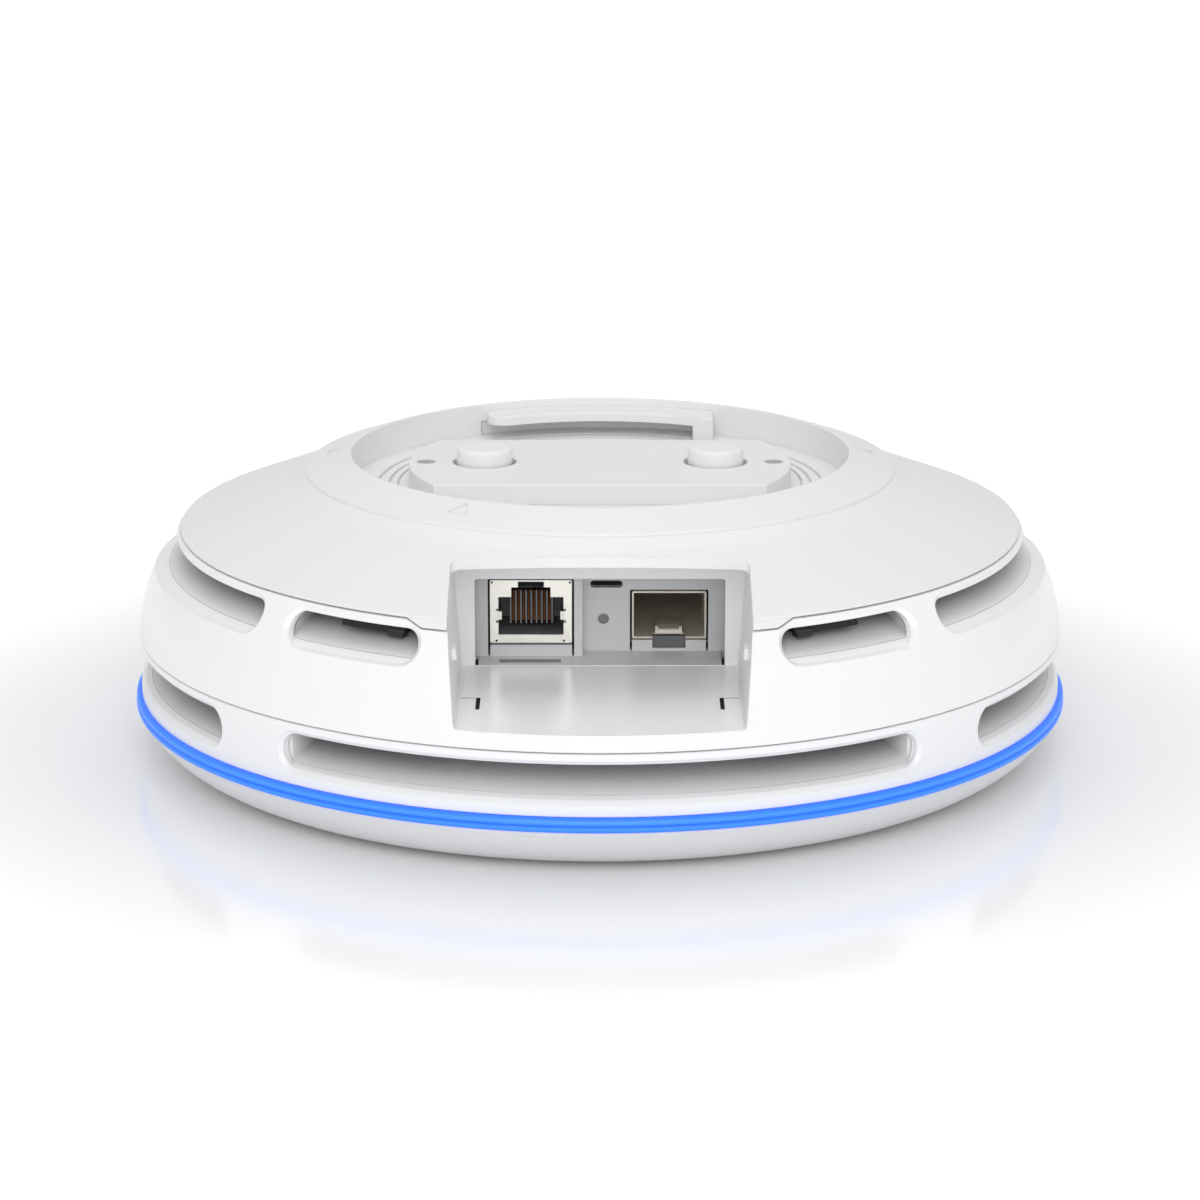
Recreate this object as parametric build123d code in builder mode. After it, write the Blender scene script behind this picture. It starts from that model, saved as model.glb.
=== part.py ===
"""Disc-shaped ceiling access point, modelled standing on its radome with its mounting side up.

Frame: +Z up, origin at the centre of the underside, the port bay towards -Y. Millimetres.
"""

from build123d import *
import math
import os

os.makedirs("parts", exist_ok=True)

# ---- Driving dimensions ------------------------------------------------------------------
RING_R = 95.4  # light ring, outermost ridge
SHELL_R = 94.2  # lower shell and foot of the middle shell
COVER_R = 85.4  # rim of the top cover
SEAM_1_Z = 46.2  # middle shell to top cover
SEAM_2_Z = 25.1  # lower shell to middle shell
SEAM_GAP = 0.3  # shadow gap at each seam
RING_TOP_Z = 12.93
RING_FOOT_Z = 10.17
WALL = 2.2  # moulded shell walls

CONE_SLOPE = 0.3756  # rise of the top cover's cone per millimetre of radius
COVER_EDGE_Z = SEAM_1_Z + 0.55  # where the cone starts at the rim
COVER_DROP = 2.1  # thickness of the cone, measured upright

COLLAR_R = 59.9  # collar, outside
BORE_R = 50.6  # collar, inside
COLLAR_TOP_Z = 60.7
COLLAR_FLOOR_Z = 54.0
COLLAR_UNDERSIDE_Z = 51.6

PLATE_R = 39.0
PLATE_HALF_DEPTH = 20.54  # centre to each flat side
PLATE_TOP_Z = 58.1
PLUNGER_X = 23.55
PLUNGER_R = 5.68
PLUNGER_HOLE_R = 6.5
PLUNGER_TOP_Z = 61.2

BAY_FLOOR_Z = 28.47
BAY_HALF_FOOT = 26.8  # half width at the floor
BAY_HALF_HEAD = 28.1  # half width level with the first seam
BEZEL_Y = -47.67
JACK_WALL_Y = -40.81
CAGE_WALL_Y = -37.0
STEP_X = -3.38  # where the wall steps back from the jack to the cage

BOARD_Z = 29.4  # underside of the main board
BOARD_T = 1.6
BOARD_TOP_Z = BOARD_Z + BOARD_T


def cone_z(radius):
    """Height of the top cover's outer cone at a radius."""
    return COVER_EDGE_Z + (COVER_R - radius) * CONE_SLOPE


def upright_plane(angle):
    """Plane through the centre line, its x axis along the direction angle (degrees from +X)."""
    turn = math.radians(angle)
    return Plane(
        origin=(0, 0, 0),
        x_dir=(math.cos(turn), math.sin(turn), 0),
        z_dir=(math.sin(turn), -math.cos(turn), 0),
    )


def radial_plane(angle, height, radius=0.0):
    """Plane facing outward along the direction angle (degrees from +X), its x axis tangential."""
    turn = math.radians(angle)
    outward = (math.cos(turn), math.sin(turn), 0)
    origin = (radius * outward[0], radius * outward[1], height)
    return Plane(origin=origin, x_dir=(-outward[1], outward[0], 0), z_dir=outward)


def finish(builder, label):
    """Label a finished piece and write it."""
    builder.part.label = label
    export_step(builder.part, f"parts/{label}.step")
    volume = builder.part.volume
    print(f"{label}: {len(builder.part.solids())} solids, {volume:.0f} mm3")


def vent_cutter(foot, head, flare, floor_slope, inner_r, start, end):
    """Long round-ended vent with a 45-degree flare, between two directions in degrees from +X.

    foot and head are the wall's outside (radius, height) level with the vent's two edges, and its floor
    rises inward at floor_slope.
    """
    lean = math.atan2(foot[0] - head[0], head[1] - foot[1])
    out_r, out_z = math.cos(lean), math.sin(lean)  # the wall's outward normal
    half = (head[1] - foot[1]) / 2
    foot_r = foot[0] - flare / math.cos(lean)
    head_r = head[0] - flare / math.cos(lean)
    middle_r, middle_z = (foot_r + head_r) / 2, (foot[1] + head[1]) / 2
    reach = 5.0
    end_turn = math.degrees(half / middle_r)
    arc_start, arc_end = start + end_turn, end - end_turn
    with BuildPart() as cutter:
        with BuildSketch(upright_plane(arc_start)):
            with BuildLine():
                Polyline(
                    (inner_r, foot[1] + floor_slope * (foot_r - inner_r)),
                    (foot_r, foot[1]),
                    (foot_r + reach * (out_r + out_z), foot[1] + reach * (out_z - out_r)),
                    (head_r + reach * (out_r - out_z), head[1] + reach * (out_z + out_r)),
                    (head_r, head[1]),
                    (inner_r, head[1]),
                    close=True,
                )
            make_face()
        revolve(axis=Axis.Z, revolution_arc=arc_end - arc_start)
        for angle in (arc_start, arc_end):
            turn = math.radians(angle)
            throat = Plane(
                origin=(middle_r * math.cos(turn), middle_r * math.sin(turn), middle_z),
                x_dir=(-math.sin(turn), math.cos(turn), 0),
                z_dir=(out_r * math.cos(turn), out_r * math.sin(turn), out_z),
            )
            end_half = half - 0.02
            with BuildSketch(radial_plane(angle, middle_z, inner_r)):
                Circle(end_half)
            extrude(amount=foot_r - inner_r)
            with BuildSketch(throat.offset(-0.01)):
                Ellipse(end_half, end_half / math.cos(lean))
            with BuildSketch(throat.offset(reach - 0.01)):
                Ellipse(end_half + reach, end_half / math.cos(lean) + reach)
            loft()
        with BuildSketch(upright_plane(start - 1)):
            with BuildLine():
                Polyline(
                    (foot_r, foot[1]),
                    (inner_r - 1, foot[1] + floor_slope * (foot_r - inner_r + 1)),
                    (inner_r - 1, foot[1] - 3),
                    (foot_r, foot[1] - 3),
                    close=True,
                )
            make_face()
        revolve(axis=Axis.Z, revolution_arc=end - start + 2, mode=Mode.SUBTRACT)
    return cutter.part


# ---- Bottom cover: the radome, a shallow white dome with an upright rim --------------------
DOME_FLAT_R = 78.0
DOME_EDGE_Z = 9.2
DOME_ARC_R = ((SHELL_R - DOME_FLAT_R) ** 2 + DOME_EDGE_Z**2) / (2 * DOME_EDGE_Z)
COVER_RIM_Z = 10.1
SEAL_RIB_R = 78.0
SEAL_RIB_TOP_Z = 10.6
dome_mid = math.asin((SHELL_R - DOME_FLAT_R) / DOME_ARC_R) / 2
with BuildPart() as bottom_cover:
    with BuildSketch(Plane.XZ):
        with BuildLine():
            Line((0, 0), (DOME_FLAT_R, 0))
            ThreePointArc(
                (DOME_FLAT_R, 0),
                (DOME_FLAT_R + DOME_ARC_R * math.sin(dome_mid), DOME_ARC_R * (1 - math.cos(dome_mid))),
                (SHELL_R, DOME_EDGE_Z),
            )
            inner_r = DOME_ARC_R - WALL
            Polyline(
                (SHELL_R, DOME_EDGE_Z),
                (SHELL_R + 0.2, DOME_EDGE_Z + 0.15),
                (SHELL_R + 0.2, COVER_RIM_Z),
                (SHELL_R - WALL, COVER_RIM_Z),
                (SHELL_R - WALL, DOME_EDGE_Z),
            )
            ThreePointArc(
                (SHELL_R - WALL, DOME_EDGE_Z),
                (DOME_FLAT_R + inner_r * math.sin(dome_mid), DOME_ARC_R - inner_r * math.cos(dome_mid)),
                (DOME_FLAT_R, WALL),
            )
            Polyline((DOME_FLAT_R, WALL), (0, WALL), (0, 0))
        make_face()
        with Locations((SEAL_RIB_R, (SEAL_RIB_TOP_Z + WALL) / 2 - 0.3)):
            Rectangle(3.0, SEAL_RIB_TOP_Z - WALL + 0.6)
        with Locations((85.0, 6.3)):
            Rectangle(2.0, 8.6)
    revolve(axis=Axis.Z)
finish(bottom_cover, "bottom_cover")

# ---- Light ring: blue light pipe, two rolled ridges outside and a light-entry leg inside ----
RIDGE_GROOVE_Z = 11.45
with BuildPart() as light_ring:
    with BuildSketch(Plane.XZ):
        with BuildLine():
            ThreePointArc((94.25, RING_TOP_Z), (RING_R - 0.08, 12.25), (RING_R - 0.28, RIDGE_GROOVE_Z))
            ThreePointArc((RING_R - 0.28, RIDGE_GROOVE_Z), (RING_R, 10.85), (94.9, RING_FOOT_Z))
            Polyline(
                (94.9, RING_FOOT_Z),
                (92.2, RING_FOOT_Z),
                (92.2, 10.9),
                (90.2, 10.9),
                (90.2, 12.5),
                (92.2, 12.5),
                (92.2, RING_TOP_Z),
                (94.25, RING_TOP_Z),
            )
        make_face()
    revolve(axis=Axis.Z)
finish(light_ring, "light_ring")

# ---- Lower shell: upright white ring with four long vents -----------------------------------
LOWER_VENT_FOOT_Z = 16.0
LOWER_VENT_HEAD_Z = 22.8
LOWER_VENT_HALF = 39.6
FLARE = 0.85
RAMP_SLOPE = 0.42  # how steeply the vents' floors and the ducts rise inward
lower_vent = vent_cutter(
    (SHELL_R, LOWER_VENT_FOOT_Z),
    (SHELL_R, LOWER_VENT_HEAD_Z),
    FLARE,
    RAMP_SLOPE,
    SHELL_R - 5,
    -LOWER_VENT_HALF,
    LOWER_VENT_HALF,
)
with BuildPart() as lower_shell:
    with BuildSketch(Plane.XZ):
        with BuildLine():
            Polyline(
                (SHELL_R - WALL, 13.0),
                (SHELL_R, 13.0),
                (SHELL_R, SEAM_2_Z - SEAM_GAP / 2),
                (SHELL_R - 1.9, SEAM_2_Z - SEAM_GAP / 2),
                (SHELL_R - 1.9, SEAM_2_Z + 1.6),
                (SHELL_R - 3.3, SEAM_2_Z + 1.6),
                (SHELL_R - 3.3, SEAM_2_Z - 1.6),
                (SHELL_R - WALL, SEAM_2_Z - 1.6),
                close=True,
            )
        make_face()
    revolve(axis=Axis.Z)
    rim = lower_shell.edges().filter_by(GeomType.CIRCLE)
    rim = rim.filter_by(lambda e: abs(e.radius - SHELL_R) < 0.01).sort_by(Axis.Z)[-1]
    fillet(rim, 0.3)
    with PolarLocations(0, 4):
        add(lower_vent, mode=Mode.SUBTRACT)
finish(lower_shell, "lower_shell")

# ---- Lower duct: smooth ramp behind the lower vents, with a divider between each pair ---------
DUCT_T = 1.6
LOWER_DUCT_R = (79.6, SHELL_R - WALL)  # inside and outside


def lower_ramp_z(radius):
    """Height of the lower duct's ramp, in line with the vents' floors."""
    return LOWER_VENT_FOOT_Z + RAMP_SLOPE * (SHELL_R - FLARE - radius)


DIVIDER_WIDTH = 90 - 2 * 39.0  # the degrees left between two vents
with BuildPart() as divider:
    with BuildSketch(upright_plane(45 - DIVIDER_WIDTH / 2)):
        with BuildLine():
            Polyline(
                (LOWER_DUCT_R[1] - 0.2, 15.0),
                (LOWER_DUCT_R[1] - 0.2, SEAM_2_Z - 1.8),
                (SHELL_R - 3.6, SEAM_2_Z - 1.8),
                (SHELL_R - 3.6, SEAM_2_Z),
                (80.5, SEAM_2_Z),
                (80.5, 20.4),
                close=True,
            )
        make_face()
    revolve(axis=Axis.Z, revolution_arc=DIVIDER_WIDTH)

with BuildPart() as lower_duct:
    with BuildSketch(Plane.XZ):
        with BuildLine():
            Polyline(
                (LOWER_DUCT_R[1], lower_ramp_z(LOWER_DUCT_R[1])),
                (LOWER_DUCT_R[0], lower_ramp_z(LOWER_DUCT_R[0])),
                (LOWER_DUCT_R[0], lower_ramp_z(LOWER_DUCT_R[0]) - DUCT_T),
                (LOWER_DUCT_R[1] - 2.4, LOWER_VENT_FOOT_Z - DUCT_T),
                (LOWER_DUCT_R[1], LOWER_VENT_FOOT_Z - DUCT_T),
                close=True,
            )
        make_face()
    revolve(axis=Axis.Z)
    with PolarLocations(0, 4):
        add(divider.part)
finish(lower_duct, "lower_duct")

# ---- Middle shell: bulged wall, upper vents, and the port bay's floor and side walls ----------
UPPER_VENT_FOOT = (90.69, 38.6)  # on the bulged wall, radius and height
UPPER_VENT_HEAD = (86.99, 44.5)
BULGE = (91.6, 36.6)  # a point on the bulged wall half way up
SHELL_HEAD_R = 85.45
BAY_WALL = 1.6
APRON_Z = 44.7  # the cover comes down to here beside the bay
APRON_HALF_HEAD = 36.0
APRON_HALF_FOOT = 32.8
middle_foot_z = SEAM_2_Z + SEAM_GAP / 2
middle_head_z = SEAM_1_Z - SEAM_GAP / 2
apron_head_z = SEAM_1_Z + SEAM_GAP / 2

with BuildPart() as envelope:  # all the room inside the shell and the cover
    with BuildSketch(Plane.XZ):
        with BuildLine():
            Line((0, middle_foot_z), (SHELL_R, middle_foot_z))
            ThreePointArc((SHELL_R, middle_foot_z), BULGE, (SHELL_HEAD_R, apron_head_z))
            Polyline(
                (SHELL_HEAD_R, apron_head_z),
                (81.0, cone_z(81.0) - COVER_DROP),
                (64.8, cone_z(64.8) - COVER_DROP),
                (64.8, COLLAR_UNDERSIDE_Z),
                (0, COLLAR_UNDERSIDE_Z),
                (0, middle_foot_z),
            )
        make_face()
    revolve(axis=Axis.Z)

with BuildPart() as bulged_wall:  # the wall before its cuts, up to the foot of the cover's cone
    with BuildSketch(Plane.XZ):
        with BuildLine():
            ThreePointArc((SHELL_R, middle_foot_z), BULGE, (SHELL_HEAD_R, apron_head_z))
            Line((SHELL_HEAD_R, apron_head_z), (SHELL_HEAD_R - WALL - 0.3, apron_head_z))
            ThreePointArc(
                (SHELL_HEAD_R - WALL - 0.3, apron_head_z),
                (BULGE[0] - WALL, BULGE[1] - 0.4),
                (SHELL_R - 1.45, middle_foot_z),
            )
            Line((SHELL_R - 1.45, middle_foot_z), (SHELL_R, middle_foot_z))
        make_face()
    revolve(axis=Axis.Z)

with BuildPart() as apron_zone:  # where the top cover reaches down beside the bay
    with BuildSketch(Plane.XZ):
        with BuildLine():
            Polyline(
                (-APRON_HALF_HEAD - 2, SEAM_1_Z + 2),
                (-APRON_HALF_HEAD - 2, SEAM_1_Z),
                (-APRON_HALF_HEAD, SEAM_1_Z),
                (-APRON_HALF_FOOT, APRON_Z),
                (APRON_HALF_FOOT, APRON_Z),
                (APRON_HALF_HEAD, SEAM_1_Z),
                (APRON_HALF_HEAD + 2, SEAM_1_Z),
                (APRON_HALF_HEAD + 2, SEAM_1_Z + 2),
                close=True,
            )
        make_face()
        fillet(vertices().filter_by(lambda v: abs(abs(v.X) - APRON_HALF_HEAD) < 0.01), 3.0)
        fillet(vertices().filter_by(lambda v: abs(abs(v.X) - APRON_HALF_FOOT) < 0.01), 1.0)
    extrude(amount=100)
    Cylinder(SHELL_HEAD_R - WALL - 0.3, 200, mode=Mode.SUBTRACT)

with BuildPart() as bay_room:  # the hollow of the port bay
    with BuildSketch(Plane.XZ):
        with BuildLine():
            Polyline(
                (-BAY_HALF_FOOT, BAY_FLOOR_Z),
                (BAY_HALF_FOOT, BAY_FLOOR_Z),
                (BAY_HALF_HEAD, 47.0),
                (BAY_HALF_HEAD, 60.0),
                (-BAY_HALF_HEAD, 60.0),
                (-BAY_HALF_HEAD, 47.0),
                close=True,
            )
        make_face()
    extrude(amount=100)
    fillet(bay_room.edges().filter_by(Axis.Y).group_by(Axis.Z)[0], 0.8)

with BuildPart() as bay_walls:
    with BuildSketch(Plane.XZ.offset(-BEZEL_Y)):
        with BuildLine():
            Polyline(
                (-BAY_HALF_FOOT - BAY_WALL, BAY_FLOOR_Z - BAY_WALL),
                (BAY_HALF_FOOT + BAY_WALL, BAY_FLOOR_Z - BAY_WALL),
                (BAY_HALF_HEAD + BAY_WALL, 47.0),
                (BAY_HALF_HEAD + BAY_WALL, 60.0),
                (-BAY_HALF_HEAD - BAY_WALL, 60.0),
                (-BAY_HALF_HEAD - BAY_WALL, 47.0),
                close=True,
            )
        make_face()
    extrude(amount=60)
    add(envelope.part, mode=Mode.INTERSECT)

CATCH_SLOT = 0.8  # width of the slot round each cover catch in the bay's floor
CATCH_X = 22.44  # its inner end
CATCH_Y = -69.7
CATCH_LENGTH = 7.5
upper_vents = [
    vent_cutter(UPPER_VENT_FOOT, UPPER_VENT_HEAD, FLARE, RAMP_SLOPE, 80, centre - half, centre + half)
    for centre, half in ((90, 41.4), (0, 43.3), (180, 43.3), (238.05, 9.55), (301.95, 9.55))
]
with BuildPart() as middle_shell:
    add(bulged_wall.part)
    add(bay_walls.part)
    add(bay_room.part, mode=Mode.SUBTRACT)
    add(apron_zone.part, mode=Mode.SUBTRACT)
    with BuildSketch(Plane.XY.offset(middle_head_z)):
        Circle(SHELL_R)
        Circle(SHELL_HEAD_R - WALL - 0.4, mode=Mode.SUBTRACT)
    extrude(amount=5, mode=Mode.SUBTRACT)
    for vent in upper_vents:
        add(vent, mode=Mode.SUBTRACT)
    for side in (-1, 1):
        with BuildSketch(Plane.XY.offset(BAY_FLOOR_Z)):
            with Locations((side * (CATCH_X + 2.1), CATCH_Y)):
                Rectangle(4.2, 0.35)
            with Locations((side * (CATCH_X + CATCH_SLOT / 2), CATCH_Y - CATCH_LENGTH / 2)):
                Rectangle(CATCH_SLOT, CATCH_LENGTH)
        extrude(amount=-3, mode=Mode.SUBTRACT)
finish(middle_shell, "middle_shell")

# ---- Upper duct: ramp behind the upper vents, open where the port bay passes -------------------
UPPER_DUCT_R = (76.5, 89.2)  # inside and outside
upper_lean = math.atan2(UPPER_VENT_FOOT[0] - UPPER_VENT_HEAD[0], UPPER_VENT_HEAD[1] - UPPER_VENT_FOOT[1])
upper_throat_r = UPPER_VENT_FOOT[0] - FLARE / math.cos(upper_lean)


def upper_ramp_z(radius):
    """Height of the upper duct's ramp, in line with the vents' floors."""
    return UPPER_VENT_FOOT[1] + RAMP_SLOPE * (upper_throat_r - radius)


with BuildPart() as upper_duct:
    with BuildSketch(Plane.XZ):
        with BuildLine():
            Polyline(
                (UPPER_DUCT_R[1], upper_ramp_z(UPPER_DUCT_R[1])),
                (UPPER_DUCT_R[0], upper_ramp_z(UPPER_DUCT_R[0])),
                (UPPER_DUCT_R[0], upper_ramp_z(UPPER_DUCT_R[0]) - DUCT_T),
                (UPPER_DUCT_R[1] - 2.2, UPPER_VENT_FOOT[1] - DUCT_T / 2),
                (UPPER_DUCT_R[1], UPPER_VENT_FOOT[1] - DUCT_T / 2),
                close=True,
            )
        make_face()
    revolve(axis=Axis.Z)
    for centre, width in ((45.9, 4.6), (134.1, 4.6), (225.6, 4.8), (314.4, 4.8)):
        with BuildSketch(upright_plane(centre - width / 2)):
            with BuildLine():
                Polyline((86.9, 39.3), (83.2, 44.6), (77.5, 44.6), (77.5, 43.2), close=True)
            make_face()
        revolve(axis=Axis.Z, revolution_arc=width)
    add(bulged_wall.part, mode=Mode.SUBTRACT)
    with BuildSketch(Plane.XY.offset(30)):
        with Locations((0, -60)):
            Rectangle(2 * (BAY_HALF_HEAD + BAY_WALL + 0.3), 60)
    extrude(amount=30, mode=Mode.SUBTRACT)
finish(upper_duct, "upper_duct")

# ---- Bay bracket: black clips seen beside the bay through the front upper vents ----------------
BRACKET_Z = 42.7
BRACKET_R = (81.6, 84.5)
BRACKET_ARC = 9.4  # degrees
BRACKET_T = 1.9
with BuildPart() as bay_bracket:
    for start in (235.2, 295.4):  # degrees from +X
        with BuildSketch(upright_plane(start)):
            with BuildLine():
                Polyline(
                    (BRACKET_R[0], BRACKET_Z),
                    (BRACKET_R[1], BRACKET_Z),
                    (BRACKET_R[1] - 0.8, BRACKET_Z + BRACKET_T),
                    (BRACKET_R[0], BRACKET_Z + BRACKET_T),
                    close=True,
                )
            make_face()
        revolve(axis=Axis.Z, revolution_arc=BRACKET_ARC)
    for angle in (243.3, 296.7):  # the hook at the end beside the bay
        with BuildSketch(Plane.XY.offset(BRACKET_Z - 0.75)):
            with PolarLocations(BRACKET_R[1] - 1.1, 1, angle):
                Rectangle(2.0, 3.0)
        extrude(amount=1.5)
    add(upper_duct.part, mode=Mode.SUBTRACT)
finish(bay_bracket, "bay_bracket")

# ---- Top cover: cone, collar with arrow marks and bayonet ledges, ringed floor -----------------
FOOT_R, FOOT_Z = 62.9, cone_z(62.9)  # where the collar's skirt meets the cone
LINTEL_Y = -64.8  # the cone's cut edge over the bay, on the centre line
LINTEL_SIDE_Y = -61.9
LEDGE_R = 43.4
LEDGE_FOOT_Z = 57.1
LEDGE_HEAD_Z = 59.1
LEDGE_HALF = 24.2  # half width of a bayonet ledge
STOP_X = 19.9  # inner face of its end stop
ARROW_ANGLES = (-90 - 29.3, -90 + 93.5, -90 - 93.5)
GROOVES = ((45.2, 0.8), (42.9, 0.6), (41.1, 0.5))  # radius and width of the floor's rings
PLATE_SCREW_X, PLATE_SCREW_Y = 10.0, 13.0
BOSS_R = 71.6  # screw bosses, on a circle this size
BOSS_FOOT_Z = 16.6

with BuildPart() as arrow:
    slope_angle = math.atan2(COLLAR_TOP_Z - 57.85, COLLAR_R - 51.2)
    face_r = 54.1
    face_z = COLLAR_TOP_Z - (face_r - 51.2) * math.tan(slope_angle)
    face_plane = Plane(
        origin=(face_r, 0, face_z),
        x_dir=(0, 1, 0),
        z_dir=(math.sin(slope_angle), 0, math.cos(slope_angle)),
    )
    with BuildSketch(face_plane):
        with BuildLine():
            Polyline((-2.35, -1.9), (2.35, -1.9), (0, 2.1), close=True)
        make_face()
    extrude(amount=0.45, both=True)

with BuildPart() as ledge:  # one bayonet ledge on the back of the bore, with its end stop
    with BuildSketch(Plane.XY.offset(LEDGE_FOOT_Z)):
        Circle(BORE_R + 0.6)
        Circle(LEDGE_R, mode=Mode.SUBTRACT)
        with Locations((0, 45)):
            Rectangle(2 * LEDGE_HALF, 30, mode=Mode.INTERSECT)
    extrude(amount=LEDGE_HEAD_Z - LEDGE_FOOT_Z)
    corners = ledge.edges().filter_by(Axis.Z).sort_by(Axis.Y)[:2]
    fillet(corners.sort_by(Axis.X)[0], 3.6)
    fillet(ledge.edges().filter_by(Axis.Z).sort_by(Axis.Y)[0], 1.0)
    with BuildSketch(Plane.XY.offset(COLLAR_FLOOR_Z - 0.4)):
        Circle(BORE_R + 0.6)
        Circle(LEDGE_R, mode=Mode.SUBTRACT)
        with Locations(((STOP_X + LEDGE_HALF) / 2, 45)):
            Rectangle(LEDGE_HALF - STOP_X, 30, mode=Mode.INTERSECT)
    extrude(amount=LEDGE_HEAD_Z - COLLAR_FLOOR_Z - 0.2)
    top_rim = ledge.faces().sort_by(Axis.Z)[-1].edges()
    fillet(top_rim.filter_by(lambda e: e.center().Y < BORE_R - 2), 0.5)

with BuildPart() as ledge_recess:  # shallow undercut in the bore's wall below a ledge
    with BuildSketch(Plane.XY.offset(COLLAR_FLOOR_Z)):
        Circle(BORE_R + 1.1)
        with Locations(((STOP_X - LEDGE_HALF - 1.4) / 2, 45)):
            Rectangle(STOP_X + LEDGE_HALF + 1.4, 30, mode=Mode.INTERSECT)
    extrude(amount=LEDGE_FOOT_Z - COLLAR_FLOOR_Z)

with BuildPart() as lintel_cut:
    with BuildSketch(Plane.XY.offset(BAY_FLOOR_Z)):
        with BuildLine():
            Polyline((-BAY_HALF_HEAD, LINTEL_SIDE_Y), (-BAY_HALF_HEAD, -110), (BAY_HALF_HEAD, -110))
            Line((BAY_HALF_HEAD, -110), (BAY_HALF_HEAD, LINTEL_SIDE_Y))
            ThreePointArc((BAY_HALF_HEAD, LINTEL_SIDE_Y), (0, LINTEL_Y), (-BAY_HALF_HEAD, LINTEL_SIDE_Y))
        make_face()
        fillet(vertices().filter_by(lambda v: v.Y > -70), 1.6)
    extrude(amount=40)

with BuildPart() as apron:  # the cover's wall beside the bay, lower than the rest of its rim
    add(apron_zone.part)
    with Locations((0, 0, SEAM_GAP)):
        add(apron_zone.part, mode=Mode.INTERSECT)
    add(bulged_wall.part, mode=Mode.INTERSECT)

with BuildPart() as bosses:  # screw bosses that hang from the cone
    with PolarLocations(BOSS_R, 4, 45):
        with Locations((0, 0, (BOSS_FOOT_Z + 56) / 2)):
            Cylinder(3.2, 56 - BOSS_FOOT_Z)
    with BuildSketch(Plane.XZ):
        with BuildLine():
            Polyline(
                (60, BOSS_FOOT_Z),
                (82, BOSS_FOOT_Z),
                (82, cone_z(82) - COVER_DROP / 2),
                (60, cone_z(60) - COVER_DROP / 2),
                close=True,
            )
        make_face()
    revolve(axis=Axis.Z, mode=Mode.INTERSECT)

with BuildPart() as top_cover:
    with BuildSketch(Plane.XZ):
        with BuildLine():
            Polyline(
                (0, COLLAR_UNDERSIDE_Z),
                (52.6, COLLAR_UNDERSIDE_Z),
                (53.2, 57.0),
                (58.0, 55.4),
                (62.4, cone_z(62.4) - COVER_DROP - 0.2),
                (64.8, cone_z(64.8) - COVER_DROP),
                (81.0, cone_z(81.0) - COVER_DROP),
                (81.0, 44.9),
                (82.8, 44.9),
                (82.8, SEAM_1_Z + SEAM_GAP / 2),
                (COVER_R, SEAM_1_Z + SEAM_GAP / 2),
                (COVER_R, COVER_EDGE_Z),
                (FOOT_R, FOOT_Z),
                (60.3, 57.05),
                (COLLAR_R, 57.2),
                (COLLAR_R, 57.75),
                (51.2, COLLAR_TOP_Z),
                (BORE_R, COLLAR_TOP_Z),
                (BORE_R, COLLAR_FLOOR_Z),
                (0, COLLAR_FLOOR_Z),
                close=True,
            )
        make_face()
    revolve(axis=Axis.Z)
    hoops = top_cover.edges().filter_by(GeomType.CIRCLE)
    fillet(hoops.filter_by(lambda e: abs(e.radius - FOOT_R) < 0.01), 3.0)
    hoops = top_cover.edges().filter_by(GeomType.CIRCLE)
    fillet(hoops.filter_by(lambda e: abs(e.radius - COLLAR_R) < 0.01 and e.center().Z > 57.5), 0.45)
    hoops = top_cover.edges().filter_by(GeomType.CIRCLE)
    fillet(hoops.filter_by(lambda e: abs(e.radius - BORE_R) < 0.01 and e.center().Z > 60), 0.3)
    hoops = top_cover.edges().filter_by(GeomType.CIRCLE)
    fillet(hoops.filter_by(lambda e: abs(e.radius - COVER_R) < 0.01 and e.center().Z > 46.5), 0.35)
    for groove_r, groove_w in GROOVES:
        with BuildSketch(Plane.XY.offset(COLLAR_FLOOR_Z)):
            Circle(groove_r + groove_w / 2)
            Circle(groove_r - groove_w / 2, mode=Mode.SUBTRACT)
        extrude(amount=-0.6, mode=Mode.SUBTRACT)
    for turn in (0, 180):
        with Locations(Location((0, 0, 0), (0, 0, turn))):
            add(ledge_recess.part, mode=Mode.SUBTRACT)
            add(ledge.part)
    for angle in ARROW_ANGLES:
        with Locations(Location((0, 0, 0), (0, 0, angle))):
            add(arrow.part, mode=Mode.SUBTRACT)
    with Locations((-PLUNGER_X, 0, COLLAR_FLOOR_Z), (PLUNGER_X, 0, COLLAR_FLOOR_Z)):
        Hole(PLUNGER_HOLE_R, 10)
    with Locations(Location((0, 0, COLLAR_FLOOR_Z))):
        with GridLocations(2 * PLATE_SCREW_X, 2 * PLATE_SCREW_Y, 2, 2):
            Hole(1.6, 10)
    with BuildSketch(Plane.XY.offset(44.0)):  # the spigot stops short of the bay
        with Locations((0, -85)):
            Rectangle(69, 30)
        Circle(82.9, mode=Mode.INTERSECT)
    extrude(amount=SEAM_1_Z + SEAM_GAP / 2 - 44.0, mode=Mode.SUBTRACT)
    add(apron.part)
    add(lintel_cut.part, mode=Mode.SUBTRACT)
    add(bosses.part)
    with PolarLocations(BOSS_R, 4, 45):
        with Locations((0, 0, BOSS_FOOT_Z + 4.25)):
            Cylinder(1.25, 8.5, mode=Mode.SUBTRACT)
finish(top_cover, "top_cover")

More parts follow.
